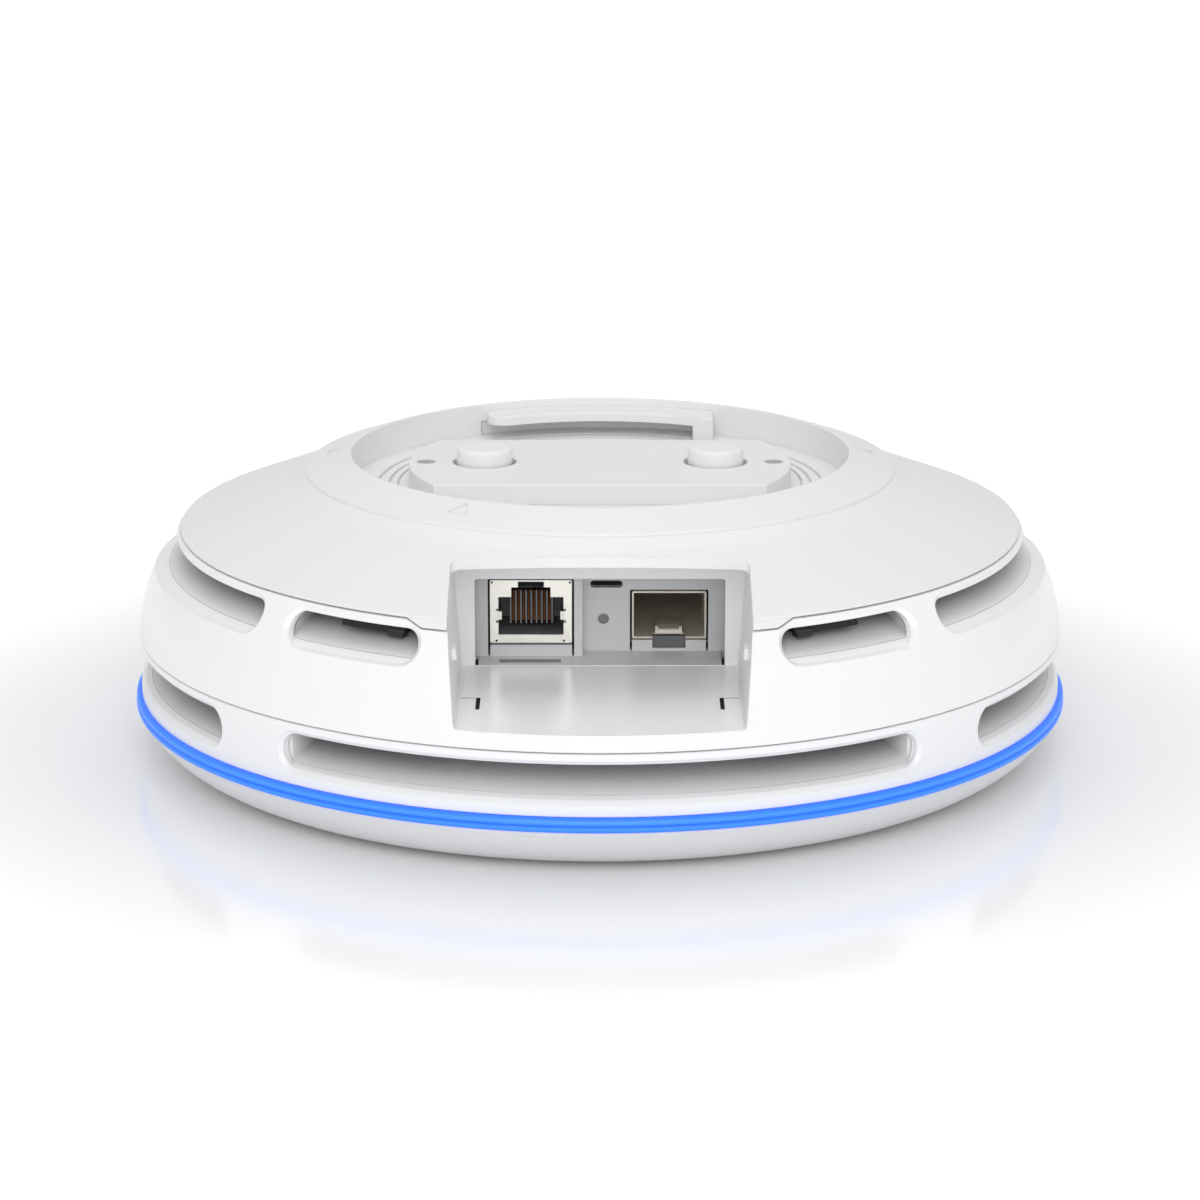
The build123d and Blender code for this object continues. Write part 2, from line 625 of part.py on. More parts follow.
# ---- Mount plate: flat-sided plate on the collar's floor, screwed from below -------------------
DIMPLE_X = 35.45
with BuildPart() as mount_plate:
    with BuildSketch(Plane.XY.offset(COLLAR_FLOOR_Z)):
        Circle(PLATE_R)
        Rectangle(2 * PLATE_R, 2 * PLATE_HALF_DEPTH, mode=Mode.INTERSECT)
    extrude(amount=PLATE_TOP_Z - COLLAR_FLOOR_Z)
    fillet(mount_plate.faces().sort_by(Axis.Z)[-1].edges(), 0.35)
    with Locations((-PLUNGER_X, 0, PLATE_TOP_Z), (PLUNGER_X, 0, PLATE_TOP_Z)):
        Hole(PLUNGER_HOLE_R, 10)
    with Locations((-DIMPLE_X, 0, PLATE_TOP_Z), (DIMPLE_X, 0, PLATE_TOP_Z)):
        Hole(1.95, 0.5)
    with BuildSketch(Plane.XY.offset(COLLAR_FLOOR_Z)):
        with GridLocations(2 * PLATE_SCREW_X, 2 * PLATE_SCREW_Y, 2, 2):
            Circle(1.25)
    extrude(amount=2.8, mode=Mode.SUBTRACT)
finish(mount_plate, "mount_plate")

with BuildPart() as plate_screws:
    with GridLocations(2 * PLATE_SCREW_X, 2 * PLATE_SCREW_Y, 2, 2):
        with Locations((0, 0, COLLAR_UNDERSIDE_Z - 0.9)):
            Cylinder(2.8, 1.8)
        with Locations((0, 0, COLLAR_UNDERSIDE_Z + 2.4)):
            Cylinder(1.25, 4.8)
finish(plate_screws, "plate_screws")

# ---- Lock plungers: sprung posts that stand through the plate, with their guides ----------------
FLANGE_R = 8.2
FLANGE_Z = COLLAR_UNDERSIDE_Z - 0.3
FLANGE_T = 1.5
GUIDE_BORE_R = FLANGE_R + 0.08
GUIDE_FOOT_Z = 42.6
GUIDE_FLOOR_T = 1.4
SPRING_WIRE = 0.7
SPRING_R = 5.2
spring_foot_z = GUIDE_FOOT_Z + GUIDE_FLOOR_T
flange_foot_z = FLANGE_Z - FLANGE_T

with BuildPart() as plunger:
    with BuildSketch():
        Circle(PLUNGER_R)
    extrude(amount=PLUNGER_TOP_Z - flange_foot_z)
    fillet(plunger.faces().sort_by(Axis.Z)[-1].edges(), 0.9)
    with BuildSketch():
        Circle(FLANGE_R)
    extrude(amount=FLANGE_T)

spring_height = flange_foot_z - spring_foot_z - SPRING_WIRE
with BuildPart() as spring:
    with BuildLine() as coil:
        Helix(pitch=spring_height / 3, height=spring_height, radius=SPRING_R)
    with BuildSketch(Plane(origin=coil.line @ 0, z_dir=coil.line % 0)):
        Circle(SPRING_WIRE / 2)
    sweep(is_frenet=True)

for side, word in ((-1, "left"), (1, "right")):
    with BuildPart() as lock_plunger:
        with Locations((side * PLUNGER_X, 0, flange_foot_z)):
            add(plunger.part)
    finish(lock_plunger, f"lock_plunger_{word}")
    with BuildPart() as plunger_spring:
        with Locations((side * PLUNGER_X, 0, spring_foot_z + SPRING_WIRE / 2)):
            add(spring.part)
    finish(plunger_spring, f"plunger_spring_{word}")

with BuildPart() as plunger_guides:
    for side in (-1, 1):
        with BuildSketch(Plane.XY.offset(GUIDE_FOOT_Z)):
            with Locations((side * PLUNGER_X, 0)):
                Circle(GUIDE_BORE_R + 1.5)
        extrude(amount=COLLAR_UNDERSIDE_Z - GUIDE_FOOT_Z)
        with BuildSketch(Plane.XY.offset(spring_foot_z)):
            with Locations((side * PLUNGER_X, 0)):
                Circle(GUIDE_BORE_R)
        extrude(amount=COLLAR_UNDERSIDE_Z - spring_foot_z, mode=Mode.SUBTRACT)
finish(plunger_guides, "plunger_guides")

# ---- Port bezel: white frame set back in the bay -------------------------------------------------
BEZEL_T = 2.0
BEZEL_TOP_Z = 50.5
OPENING_HALF = 24.15
OPENING_TOP_Z = 45.78
with BuildPart() as port_bezel:
    with BuildSketch(Plane.XZ.offset(-BEZEL_Y)):
        with BuildLine():
            Polyline(
                (-BAY_HALF_FOOT, BAY_FLOOR_Z),
                (BAY_HALF_FOOT, BAY_FLOOR_Z),
                (BAY_HALF_HEAD, 47.0),
                (BAY_HALF_HEAD, BEZEL_TOP_Z),
                (-BAY_HALF_HEAD, BEZEL_TOP_Z),
                (-BAY_HALF_HEAD, 47.0),
                close=True,
            )
        make_face()
        with Locations((0, (OPENING_TOP_Z + BAY_FLOOR_Z - 2) / 2)):
            Rectangle(2 * OPENING_HALF, OPENING_TOP_Z - BAY_FLOOR_Z + 2, mode=Mode.SUBTRACT)
    extrude(amount=-BEZEL_T)
    inner_corners = port_bezel.edges().filter_by(Axis.Y)
    fillet(inner_corners.filter_by(lambda e: abs(e.center().Z - OPENING_TOP_Z) < 0.1), 0.5)
finish(port_bezel, "port_bezel")

# ---- Connector panel: stepped wall behind the bezel, with its sills ------------------------------
PANEL_T = 2.0
JACK_X = (-21.45, -5.46)  # jack shield, left and right
JACK_Z = (BOARD_TOP_Z + 0.05, 43.71)
CAGE_X = (6.27, 20.82)
CAGE_Z = (BOARD_TOP_Z + 0.04, 40.59)
PORT_GAP = 0.4  # black gap round each connector
BUTTON_X, BUTTON_Z = 0.67, 34.95
BUTTON_HOLE_R = 1.05
SLOT_X, SLOT_Z = (-1.94, 4.43), 41.98
SLOT_HEIGHT = 1.44
SILL_TOP_Z = BOARD_TOP_Z - 0.35
PANEL_HALF = 26.4
NOTCH_X = (10.29, 16.75)
with BuildPart() as connector_panel:
    with BuildSketch(Plane.XY.offset(BAY_FLOOR_Z - BAY_WALL)):
        with BuildLine():
            Polyline(
                (-PANEL_HALF, JACK_WALL_Y),
                (STEP_X, JACK_WALL_Y),
                (STEP_X, CAGE_WALL_Y),
                (PANEL_HALF, CAGE_WALL_Y),
                (PANEL_HALF, CAGE_WALL_Y + PANEL_T),
                (STEP_X - 1.7, CAGE_WALL_Y + PANEL_T),
                (STEP_X - 1.7, JACK_WALL_Y + PANEL_T),
                (-PANEL_HALF, JACK_WALL_Y + PANEL_T),
                close=True,
            )
        make_face()
    extrude(amount=BEZEL_TOP_Z - BAY_FLOOR_Z + BAY_WALL)
    with BuildSketch(Plane.XY.offset(BAY_FLOOR_Z - BAY_WALL)):
        with Locations((0, (BEZEL_Y + CAGE_WALL_Y + PANEL_T) / 2)):
            Rectangle(2 * OPENING_HALF - 0.9, CAGE_WALL_Y + PANEL_T - BEZEL_Y - 0.06)
    extrude(amount=BAY_WALL)
    for (left, right), top_z in ((JACK_X, JACK_Z[1] + 0.25), (CAGE_X, CAGE_Z[1] + 0.25)):
        with BuildSketch(Plane.XZ.offset(-CAGE_WALL_Y - PANEL_T - 1)):
            with Locations(((left + right) / 2, (BAY_FLOOR_Z + top_z) / 2)):
                RectangleRounded(right - left + 2 * PORT_GAP, top_z - BAY_FLOOR_Z, 0.3)
        extrude(amount=12, mode=Mode.SUBTRACT)
    for (left, right), wall_y in ((JACK_X, JACK_WALL_Y), (CAGE_X, CAGE_WALL_Y)):
        with BuildSketch(Plane.XZ.offset(-wall_y)):
            with Locations(((left + right) / 2, (BAY_FLOOR_Z + SILL_TOP_Z) / 2 - 0.2)):
                Rectangle(right - left, SILL_TOP_Z - BAY_FLOOR_Z + 0.4)
        extrude(amount=-PANEL_T)
    with BuildSketch(Plane.XZ.offset(-CAGE_WALL_Y)):
        with Locations(((NOTCH_X[0] + NOTCH_X[1]) / 2, SILL_TOP_Z)):
            Rectangle(NOTCH_X[1] - NOTCH_X[0], 3.4)
    extrude(amount=-1.6, mode=Mode.SUBTRACT)
    with BuildSketch(Plane.XZ.offset(-CAGE_WALL_Y)):
        with Locations((BUTTON_X, BUTTON_Z)):
            Circle(BUTTON_HOLE_R)
        with Locations(((SLOT_X[0] + SLOT_X[1]) / 2, SLOT_Z)):
            SlotOverall(SLOT_X[1] - SLOT_X[0], SLOT_HEIGHT)
    extrude(amount=-PANEL_T, mode=Mode.SUBTRACT)
finish(connector_panel, "connector_panel")

# ---- Port seal: black rubber plate behind the panel, round the connectors ------------------------
with BuildPart() as port_seal:
    for (left, right), top_z, wall_y, margin in (
        (JACK_X, JACK_Z[1], JACK_WALL_Y, 0.36),
        (CAGE_X, CAGE_Z[1], CAGE_WALL_Y, 1.4),
    ):
        with BuildSketch(Plane.XZ.offset(-wall_y - PANEL_T)):
            with Locations(((left + right + margin - 1.4) / 2, (BOARD_TOP_Z + top_z + 1.4) / 2)):
                Rectangle(right - left + margin + 1.4, top_z + 1.4 - BOARD_TOP_Z)
            with Locations(((left + right) / 2, (BOARD_TOP_Z + top_z) / 2)):
                Rectangle(right - left + 0.04, top_z - BOARD_TOP_Z + 0.1, mode=Mode.SUBTRACT)
        extrude(amount=-1.0)
finish(port_seal, "port_seal")

# ---- Network jack: plated shield, black insert and eight gold contacts ---------------------------
JACK_FRONT_Y = -40.6
JACK_DEPTH = 21.4
SHEET = 0.3
JACK_MID_X = (JACK_X[0] + JACK_X[1]) / 2
CONTACT_PITCH = 1.016
MOUTH_STEPS = ((6.33, 32.72, 40.3), (3.81, 40.2, 42.25), (2.51, 42.15, 43.4))  # half width, foot, head
SPRING_NOTCH_Z = (35.36, 37.7)  # beside each side spring of the shield
side_spring_z = sum(SPRING_NOTCH_Z) / 2
jack_mid_z = (JACK_Z[0] + JACK_Z[1]) / 2
with BuildPart() as rj45_shield:
    with BuildSketch(Plane.XZ.offset(-JACK_FRONT_Y)):
        with Locations((JACK_MID_X, jack_mid_z)):
            RectangleRounded(JACK_X[1] - JACK_X[0], JACK_Z[1] - JACK_Z[0], 0.3)
    extrude(amount=-JACK_DEPTH)
    with BuildSketch(Plane.XZ.offset(-JACK_FRONT_Y - SHEET)):
        with Locations((JACK_MID_X, jack_mid_z)):
            Rectangle(JACK_X[1] - JACK_X[0] - 2 * SHEET, JACK_Z[1] - JACK_Z[0] - 2 * SHEET)
    extrude(amount=-(JACK_DEPTH - 2 * SHEET), mode=Mode.SUBTRACT)
    with BuildSketch(Plane.XZ.offset(-JACK_FRONT_Y + 0.2)):
        for half, foot, head in MOUTH_STEPS:
            with Locations((JACK_MID_X, (foot + head) / 2)):
                Rectangle(2 * half, head - foot)
        for side in (-1, 1):
            for notch_z in SPRING_NOTCH_Z:
                with Locations((JACK_MID_X + side * (MOUTH_STEPS[0][0] + 0.2), notch_z)):
                    Rectangle(0.6, 0.45)
    extrude(amount=-1.0, mode=Mode.SUBTRACT)
    for side in (-1, 1):
        with Locations((JACK_MID_X + side * (MOUTH_STEPS[0][0] - 0.5), JACK_FRONT_Y + 2.2, side_spring_z)):
            Box(0.25, 4.0, 1.7)
        with Locations((JACK_MID_X + side * (MOUTH_STEPS[0][0] - 0.1), JACK_FRONT_Y + 0.35, side_spring_z)):
            Box(1.0, 0.3, 1.7)
finish(rj45_shield, "rj45_shield")

with BuildPart() as rj45_insert:
    with BuildSketch(Plane.XZ.offset(-JACK_FRONT_Y - SHEET)):
        with Locations((JACK_MID_X, jack_mid_z)):
            Rectangle(JACK_X[1] - JACK_X[0] - 2 * SHEET, JACK_Z[1] - JACK_Z[0] - 2 * SHEET)
    extrude(amount=-(JACK_DEPTH - 2 * SHEET))
    with BuildSketch(Plane.XZ.offset(-JACK_FRONT_Y)):
        for half, foot, head in MOUTH_STEPS:
            with Locations((JACK_MID_X, (foot + head) / 2)):
                Rectangle(2 * half, min(head, JACK_Z[1] - 0.6) - foot)
    extrude(amount=-14.0, mode=Mode.SUBTRACT)
    with BuildSketch(Plane.XZ.offset(-JACK_FRONT_Y - 4.6)):
        with Locations((JACK_MID_X, 37.1)):
            with GridLocations(CONTACT_PITCH, 1, 9, 1):
                Rectangle(0.36, 6.6)
    extrude(amount=-9.8)
finish(rj45_insert, "rj45_insert")

with BuildPart() as rj45_contacts:
    with BuildSketch(Plane.YZ.offset(JACK_MID_X - 0.2)):
        with BuildLine():
            Polyline(
                (JACK_FRONT_Y + 13.9, 33.7),
                (JACK_FRONT_Y + 5.0, 34.0),
                (JACK_FRONT_Y + 4.7, 34.4),
                (JACK_FRONT_Y + 6.6, 40.1),
                (JACK_FRONT_Y + 13.9, 40.1),
                (JACK_FRONT_Y + 13.9, 39.7),
                (JACK_FRONT_Y + 7.0, 39.7),
                (JACK_FRONT_Y + 5.2, 34.5),
                (JACK_FRONT_Y + 13.9, 34.2),
                close=True,
            )
        make_face()
    one_contact = extrude(amount=0.4, mode=Mode.PRIVATE)
    with GridLocations(CONTACT_PITCH, 1, 8, 1):
        add(one_contact)
finish(rj45_contacts, "rj45_contacts")

# ---- Optical module cage: plated cage, latch leaf, black host connector and its contacts ----------
CAGE_FRONT_Y = CAGE_WALL_Y - 0.25
CAGE_DEPTH = 48.8
CAGE_SHEET = 0.35
cage_mid_x = (CAGE_X[0] + CAGE_X[1]) / 2
cage_mid_z = (CAGE_Z[0] + CAGE_Z[1]) / 2
with BuildPart() as sfp_cage:
    with BuildSketch(Plane.XZ.offset(-CAGE_FRONT_Y)):
        with Locations((cage_mid_x, cage_mid_z)):
            RectangleRounded(CAGE_X[1] - CAGE_X[0], CAGE_Z[1] - CAGE_Z[0], 0.45)
    extrude(amount=-CAGE_DEPTH)
    with BuildSketch(Plane.XZ.offset(-CAGE_FRONT_Y)):
        with Locations((cage_mid_x, cage_mid_z)):
            Rectangle(CAGE_X[1] - CAGE_X[0] - 2 * CAGE_SHEET, CAGE_Z[1] - CAGE_Z[0] - 2 * CAGE_SHEET)
    extrude(amount=-(CAGE_DEPTH - CAGE_SHEET), mode=Mode.SUBTRACT)
    with BuildSketch(Plane.XY.offset(CAGE_Z[0])):
        with Locations(((NOTCH_X[0] + NOTCH_X[1]) / 2, CAGE_FRONT_Y + 1.4)):
            Rectangle(NOTCH_X[1] - NOTCH_X[0], 2.8)
    extrude(amount=CAGE_SHEET, mode=Mode.SUBTRACT)
finish(sfp_cage, "sfp_cage")

leaf_floor_z = CAGE_Z[0] + CAGE_SHEET
with BuildPart() as sfp_latch_leaf:
    with BuildSketch(Plane.YZ.offset(10.8)):
        with BuildLine():
            Polyline(
                (CAGE_FRONT_Y + 0.4, leaf_floor_z + 0.5),
                (CAGE_FRONT_Y + 0.4, leaf_floor_z + 1.3),
                (CAGE_FRONT_Y + 0.8, leaf_floor_z + 1.5),
                (CAGE_FRONT_Y + 4.0, leaf_floor_z + 1.5),
                (CAGE_FRONT_Y + 14.0, leaf_floor_z + 0.25),
                (CAGE_FRONT_Y + 14.0, leaf_floor_z),
                (CAGE_FRONT_Y + 4.0, leaf_floor_z + 1.25),
                (CAGE_FRONT_Y + 0.65, leaf_floor_z + 1.25),
                (CAGE_FRONT_Y + 0.65, leaf_floor_z + 0.5),
                close=True,
            )
        make_face()
    extrude(amount=5.3)
    for ear_x in (10.8, 15.5):
        with BuildSketch(Plane.YZ.offset(ear_x)):
            with BuildLine():
                Polyline(
                    (CAGE_FRONT_Y + 0.9, leaf_floor_z + 1.4),
                    (CAGE_FRONT_Y + 0.6, leaf_floor_z + 1.9),
                    (CAGE_FRONT_Y + 1.4, leaf_floor_z + 1.9),
                    (CAGE_FRONT_Y + 2.6, leaf_floor_z + 1.4),
                    close=True,
                )
            make_face()
        extrude(amount=0.6)
finish(sfp_latch_leaf, "sfp_latch_leaf")

HOST_FRONT_Y = -1.0
with BuildPart() as sfp_connector:
    with Locations((cage_mid_x, HOST_FRONT_Y + 5.0, leaf_floor_z + 3.2)):
        Box(12.2, 10.0, 6.2)
    with Locations((cage_mid_x, HOST_FRONT_Y + 2.5, leaf_floor_z + 3.2)):
        Box(10.0, 5.2, 1.6, mode=Mode.SUBTRACT)
finish(sfp_connector, "sfp_connector")

with BuildPart() as sfp_contacts:
    for row_z in (leaf_floor_z + 3.85, leaf_floor_z + 2.55):
        with Locations((cage_mid_x, HOST_FRONT_Y + 2.5, row_z)):
            with GridLocations(0.8, 1, 10, 1):
                Box(0.35, 4.0, 0.3)
finish(sfp_contacts, "sfp_contacts")

# ---- Reset button and its switch --------------------------------------------------------------------
BUTTON_R = BUTTON_HOLE_R - 0.07
BUTTON_FACE_Y = CAGE_WALL_Y + 0.45
BUTTON_TRAVEL = 0.4
BUTTON_LENGTH = 5.0
with BuildPart() as reset_button:
    with BuildSketch(Plane.XZ.offset(-BUTTON_FACE_Y)):
        with Locations((BUTTON_X, BUTTON_Z)):
            Circle(BUTTON_R)
    extrude(amount=-BUTTON_LENGTH)
    with BuildSketch(Plane.XZ.offset(-CAGE_WALL_Y - PANEL_T - 0.3)):
        with Locations((BUTTON_X, BUTTON_Z)):
            Circle(1.7)
    extrude(amount=-0.8)
finish(reset_button, "reset_button")

SWITCH_TOP_Z = 37.6
with BuildPart() as reset_switch:
    switch_y = BUTTON_FACE_Y + BUTTON_LENGTH + BUTTON_TRAVEL + 1.9
    with Locations((BUTTON_X, switch_y, (BOARD_TOP_Z + SWITCH_TOP_Z) / 2)):
        Box(6.0, 3.4, SWITCH_TOP_Z - BOARD_TOP_Z)
finish(reset_switch, "reset_switch")

# ---- Main board and what is on it ------------------------------------------------------------------
BOARD_R = 62.0
BOARD_SCREWS_R = 56.0
BOARD_SCREW_ANGLES = (20, 90, 160, 210, 330)
PROCESSOR_XY = (0, 26)
RADIO_XY = (-34, 18)
AMPLIFIER_XY = (35, 24)
with BuildPart() as main_board:
    with BuildSketch(Plane.XY.offset(BOARD_Z)):
        Circle(BOARD_R)
        with Locations((0, -60 + CAGE_WALL_Y + PANEL_T + 0.2)):
            Rectangle(2 * BOARD_R, 120, mode=Mode.SUBTRACT)
    extrude(amount=BOARD_T)
    for angle in BOARD_SCREW_ANGLES:
        with Locations(radial_plane(angle, 0, BOARD_SCREWS_R).origin + (0, 0, BOARD_TOP_Z)):
            Hole(1.6, BOARD_T)
finish(main_board, "main_board")

with BuildPart() as main_processor:
    with Locations((*PROCESSOR_XY, BOARD_TOP_Z + 0.8)):
        Box(19, 19, 1.6)
    chamfer(main_processor.faces().sort_by(Axis.Z)[-1].edges(), 0.4)
finish(main_processor, "main_processor")

with BuildPart() as memory_chips:
    with Locations((-8, 44, BOARD_TOP_Z + 0.5), (8, 44, BOARD_TOP_Z + 0.5)):
        Box(9, 13, 1.0)
finish(memory_chips, "memory_chips")

with BuildPart() as shield_cans:
    with Locations((*RADIO_XY, BOARD_TOP_Z + 1.5), (*AMPLIFIER_XY, BOARD_TOP_Z + 1.5)):
        Box(24, 20, 3.0)
    fillet(shield_cans.edges().filter_by(Axis.Z), 1.0)
finish(shield_cans, "shield_cans")

with BuildPart() as power_transformer:
    with Locations((-43, -14, BOARD_TOP_Z + 4.0)):
        Box(17, 20, 8.0)
    with Locations((-43, -14, BOARD_TOP_Z + 4.0)):
        Box(18.6, 12, 6.0)
finish(power_transformer, "power_transformer")

with BuildPart() as network_magnetics:
    with Locations((JACK_MID_X, -11.0, BOARD_TOP_Z + 2.9)):
        Box(15, 11, 5.8)
finish(network_magnetics, "network_magnetics")

with BuildPart() as filter_capacitors:
    with Locations((36, -24, BOARD_TOP_Z + 4.25), (46, -20, BOARD_TOP_Z + 4.25), (48, -9, BOARD_TOP_Z + 4.25)):
        Cylinder(4.0, 8.5)
    fillet(filter_capacitors.faces().filter_by(Axis.Z).group_by(Axis.Z)[-1].edges(), 0.5)
finish(filter_capacitors, "filter_capacitors")

with BuildPart() as board_connector:
    with Locations((22, 46, BOARD_Z - 2.2)):
        Box(5, 14, 4.4)
finish(board_connector, "board_connector")

# ---- Core housing: finned aluminium casting that carries the boards --------------------------------
CORE_FLANGE_R = 78.0
CORE_FLANGE_Z = 12.6
CORE_FLOOR_Z = 22.0
CORE_TOP_Z = 26.4
FIN_COUNT = 48
FIN_R = (66.0, 75.5)
with BuildPart() as core_housing:
    with BuildSketch(Plane.XZ):
        with BuildLine():
            Polyline(
                (0, CORE_FLOOR_Z),
                (65.0, CORE_FLOOR_Z),
                (65.0, CORE_FLANGE_Z + 2.0),
                (74.0, CORE_FLANGE_Z),
                (CORE_FLANGE_R, CORE_FLANGE_Z),
                (CORE_FLANGE_R, CORE_FLANGE_Z + 2.4),
                (68.0, CORE_FLANGE_Z + 4.0),
                (68.0, CORE_TOP_Z),
                (0, CORE_TOP_Z),
                close=True,
            )
        make_face()
    revolve(axis=Axis.Z)
    for index in range(FIN_COUNT):
        angle = 360 / FIN_COUNT * (index + 0.5)
        beside_bay = abs(angle - 270) < 32
        fin_top_z = CORE_TOP_Z if beside_bay else 37.0
        with BuildSketch(upright_plane(angle)):
            with BuildLine():
                Polyline(
                    (FIN_R[0], CORE_FLANGE_Z + 3.0),
                    (FIN_R[1], CORE_FLANGE_Z + 2.0),
                    (FIN_R[1], fin_top_z - 4.0),
                    (FIN_R[0], fin_top_z),
                    close=True,
                )
            make_face()
        extrude(amount=0.7, both=True)
    for x, y in (PROCESSOR_XY, RADIO_XY, AMPLIFIER_XY):
        with Locations((x, y, (CORE_TOP_Z + 28.2) / 2 - 0.5)):
            Box(18, 18, 28.2 - CORE_TOP_Z + 1.0)
    for angle in BOARD_SCREW_ANGLES:
        with Locations(radial_plane(angle, 0, BOARD_SCREWS_R).origin + (0, 0, (CORE_TOP_Z + BOARD_Z) / 2 - 0.5)):
            Cylinder(3.2, BOARD_Z - CORE_TOP_Z + 1.0)
        with Locations(radial_plane(angle, 0, BOARD_SCREWS_R).origin + (0, 0, BOARD_Z)):
            Hole(1.25, 5.0)
    with Locations((22, 46, CORE_TOP_Z)):
        Box(7, 16, 30, mode=Mode.SUBTRACT)
    with PolarLocations(BOSS_R, 4, 45):
        with Locations((0, 0, CORE_FLANGE_Z + 2)):
            Cylinder(1.6, 8, mode=Mode.SUBTRACT)
finish(core_housing, "core_housing")

with BuildPart() as cover_screws:  # up through the casting's flange into the top cover's bosses
    with PolarLocations(BOSS_R, 4, 45):
        with Locations((0, 0, CORE_FLANGE_Z - 1.0)):
            Cylinder(2.8, 1.8)
        with Locations((0, 0, CORE_FLANGE_Z + 5.5)):
            Cylinder(1.25, 11.4)
finish(cover_screws, "cover_screws")

with BuildPart() as board_screws:
    for angle in BOARD_SCREW_ANGLES:
        with Locations(radial_plane(angle, 0, BOARD_SCREWS_R).origin + (0, 0, BOARD_TOP_Z + 0.9)):
            Cylinder(2.7, 1.8)
        with Locations(radial_plane(angle, 0, BOARD_SCREWS_R).origin + (0, 0, BOARD_TOP_Z - 2.8)):
            Cylinder(1.25, 5.6)
finish(board_screws, "board_screws")

with BuildPart() as thermal_pads:
    for x, y in (PROCESSOR_XY, RADIO_XY, AMPLIFIER_XY):
        with Locations((x, y, (BOARD_Z + 28.2) / 2)):
            Box(17, 17, BOARD_Z - 28.2)
finish(thermal_pads, "thermal_pads")

# ---- Antenna stack under the casting: ground plate, board, patches and stand-offs -------------------
ANTENNA_BOARD_Z = 9.0
ANTENNA_BOARD_T = 1.6
GROUND_T = 0.8
ANTENNA_R = 62.0
STANDOFF_R = 55.0
GROUND_Z = ANTENNA_BOARD_Z + ANTENNA_BOARD_T
PATCH_COUNT = 8
PATCH_RING_R = 38.0
PATCH_T = 0.6
PATCH_Z = 5.4
with BuildPart() as ground_plate:
    with BuildSketch(Plane.XY.offset(GROUND_Z)):
        Circle(ANTENNA_R + 1.5)
        with PolarLocations(STANDOFF_R, 4, 45):
            Circle(1.6, mode=Mode.SUBTRACT)
        with Locations((22, 46)):
            Rectangle(7, 16, mode=Mode.SUBTRACT)
    extrude(amount=GROUND_T)
finish(ground_plate, "ground_plate")

with BuildPart() as antenna_board:
    with BuildSketch(Plane.XY.offset(ANTENNA_BOARD_Z)):
        Circle(ANTENNA_R)
        with PolarLocations(STANDOFF_R, 4, 45):
            Circle(1.6, mode=Mode.SUBTRACT)
    extrude(amount=ANTENNA_BOARD_T)
finish(antenna_board, "antenna_board")

with BuildPart() as antenna_patches:
    with PolarLocations(PATCH_RING_R, PATCH_COUNT):
        with Locations((0, 0, PATCH_Z + PATCH_T / 2)):
            Cylinder(9.0, PATCH_T)
        with Locations((3.0, 0, (PATCH_Z + ANTENNA_BOARD_Z) / 2), (-3.0, 0, (PATCH_Z + ANTENNA_BOARD_Z) / 2)):
            Cylinder(0.6, ANTENNA_BOARD_Z - PATCH_Z)
finish(antenna_patches, "antenna_patches")

standoff_foot_z = GROUND_Z + GROUND_T
with BuildPart() as antenna_standoffs:
    with BuildSketch(Plane.XY.offset(standoff_foot_z)):
        with PolarLocations(STANDOFF_R, 4, 45):
            RegularPolygon(2.9, 6)
            Circle(1.25, mode=Mode.SUBTRACT)
    extrude(amount=CORE_FLOOR_Z - standoff_foot_z)
finish(antenna_standoffs, "antenna_standoffs")

with BuildPart() as antenna_screws:
    with PolarLocations(STANDOFF_R, 4, 45):
        with Locations((0, 0, ANTENNA_BOARD_Z - 0.9)):
            Cylinder(2.7, 1.8)
        with Locations((0, 0, ANTENNA_BOARD_Z + 3.6)):
            Cylinder(1.25, 7.2)
finish(antenna_screws, "antenna_screws")

# ---- Light board: ring of light sources that feed the light ring -----------------------------------
LED_BOARD_R = (83.0, 89.4)
LED_BOARD_Z = 10.6
LED_COUNT = 24
with BuildPart() as led_board:
    with BuildSketch(Plane.XY.offset(LED_BOARD_Z)):
        Circle(LED_BOARD_R[1])
        Circle(LED_BOARD_R[0], mode=Mode.SUBTRACT)
    extrude(amount=0.8)
finish(led_board, "led_board")

with BuildPart() as ring_leds:
    with PolarLocations(LED_BOARD_R[1] - 0.9, LED_COUNT):
        with Locations((0, 0, LED_BOARD_Z + 1.3)):
            Box(1.6, 3.2, 1.0)
finish(ring_leds, "ring_leds")

# ---- Core seal: rubber ring between the radome's rib and the casting's flange -----------------------
with BuildPart() as core_seal:
    with BuildSketch(Plane.XZ):
        with Locations((CORE_FLANGE_R - 0.9, (SEAL_RIB_TOP_Z + CORE_FLANGE_Z) / 2)):
            Rectangle(1.2, CORE_FLANGE_Z - SEAL_RIB_TOP_Z)
    revolve(axis=Axis.Z)
finish(core_seal, "core_seal")
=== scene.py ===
"""Looks of a disc-shaped ceiling access point that stands on its radome, with its port bay towards -Y."""

import math

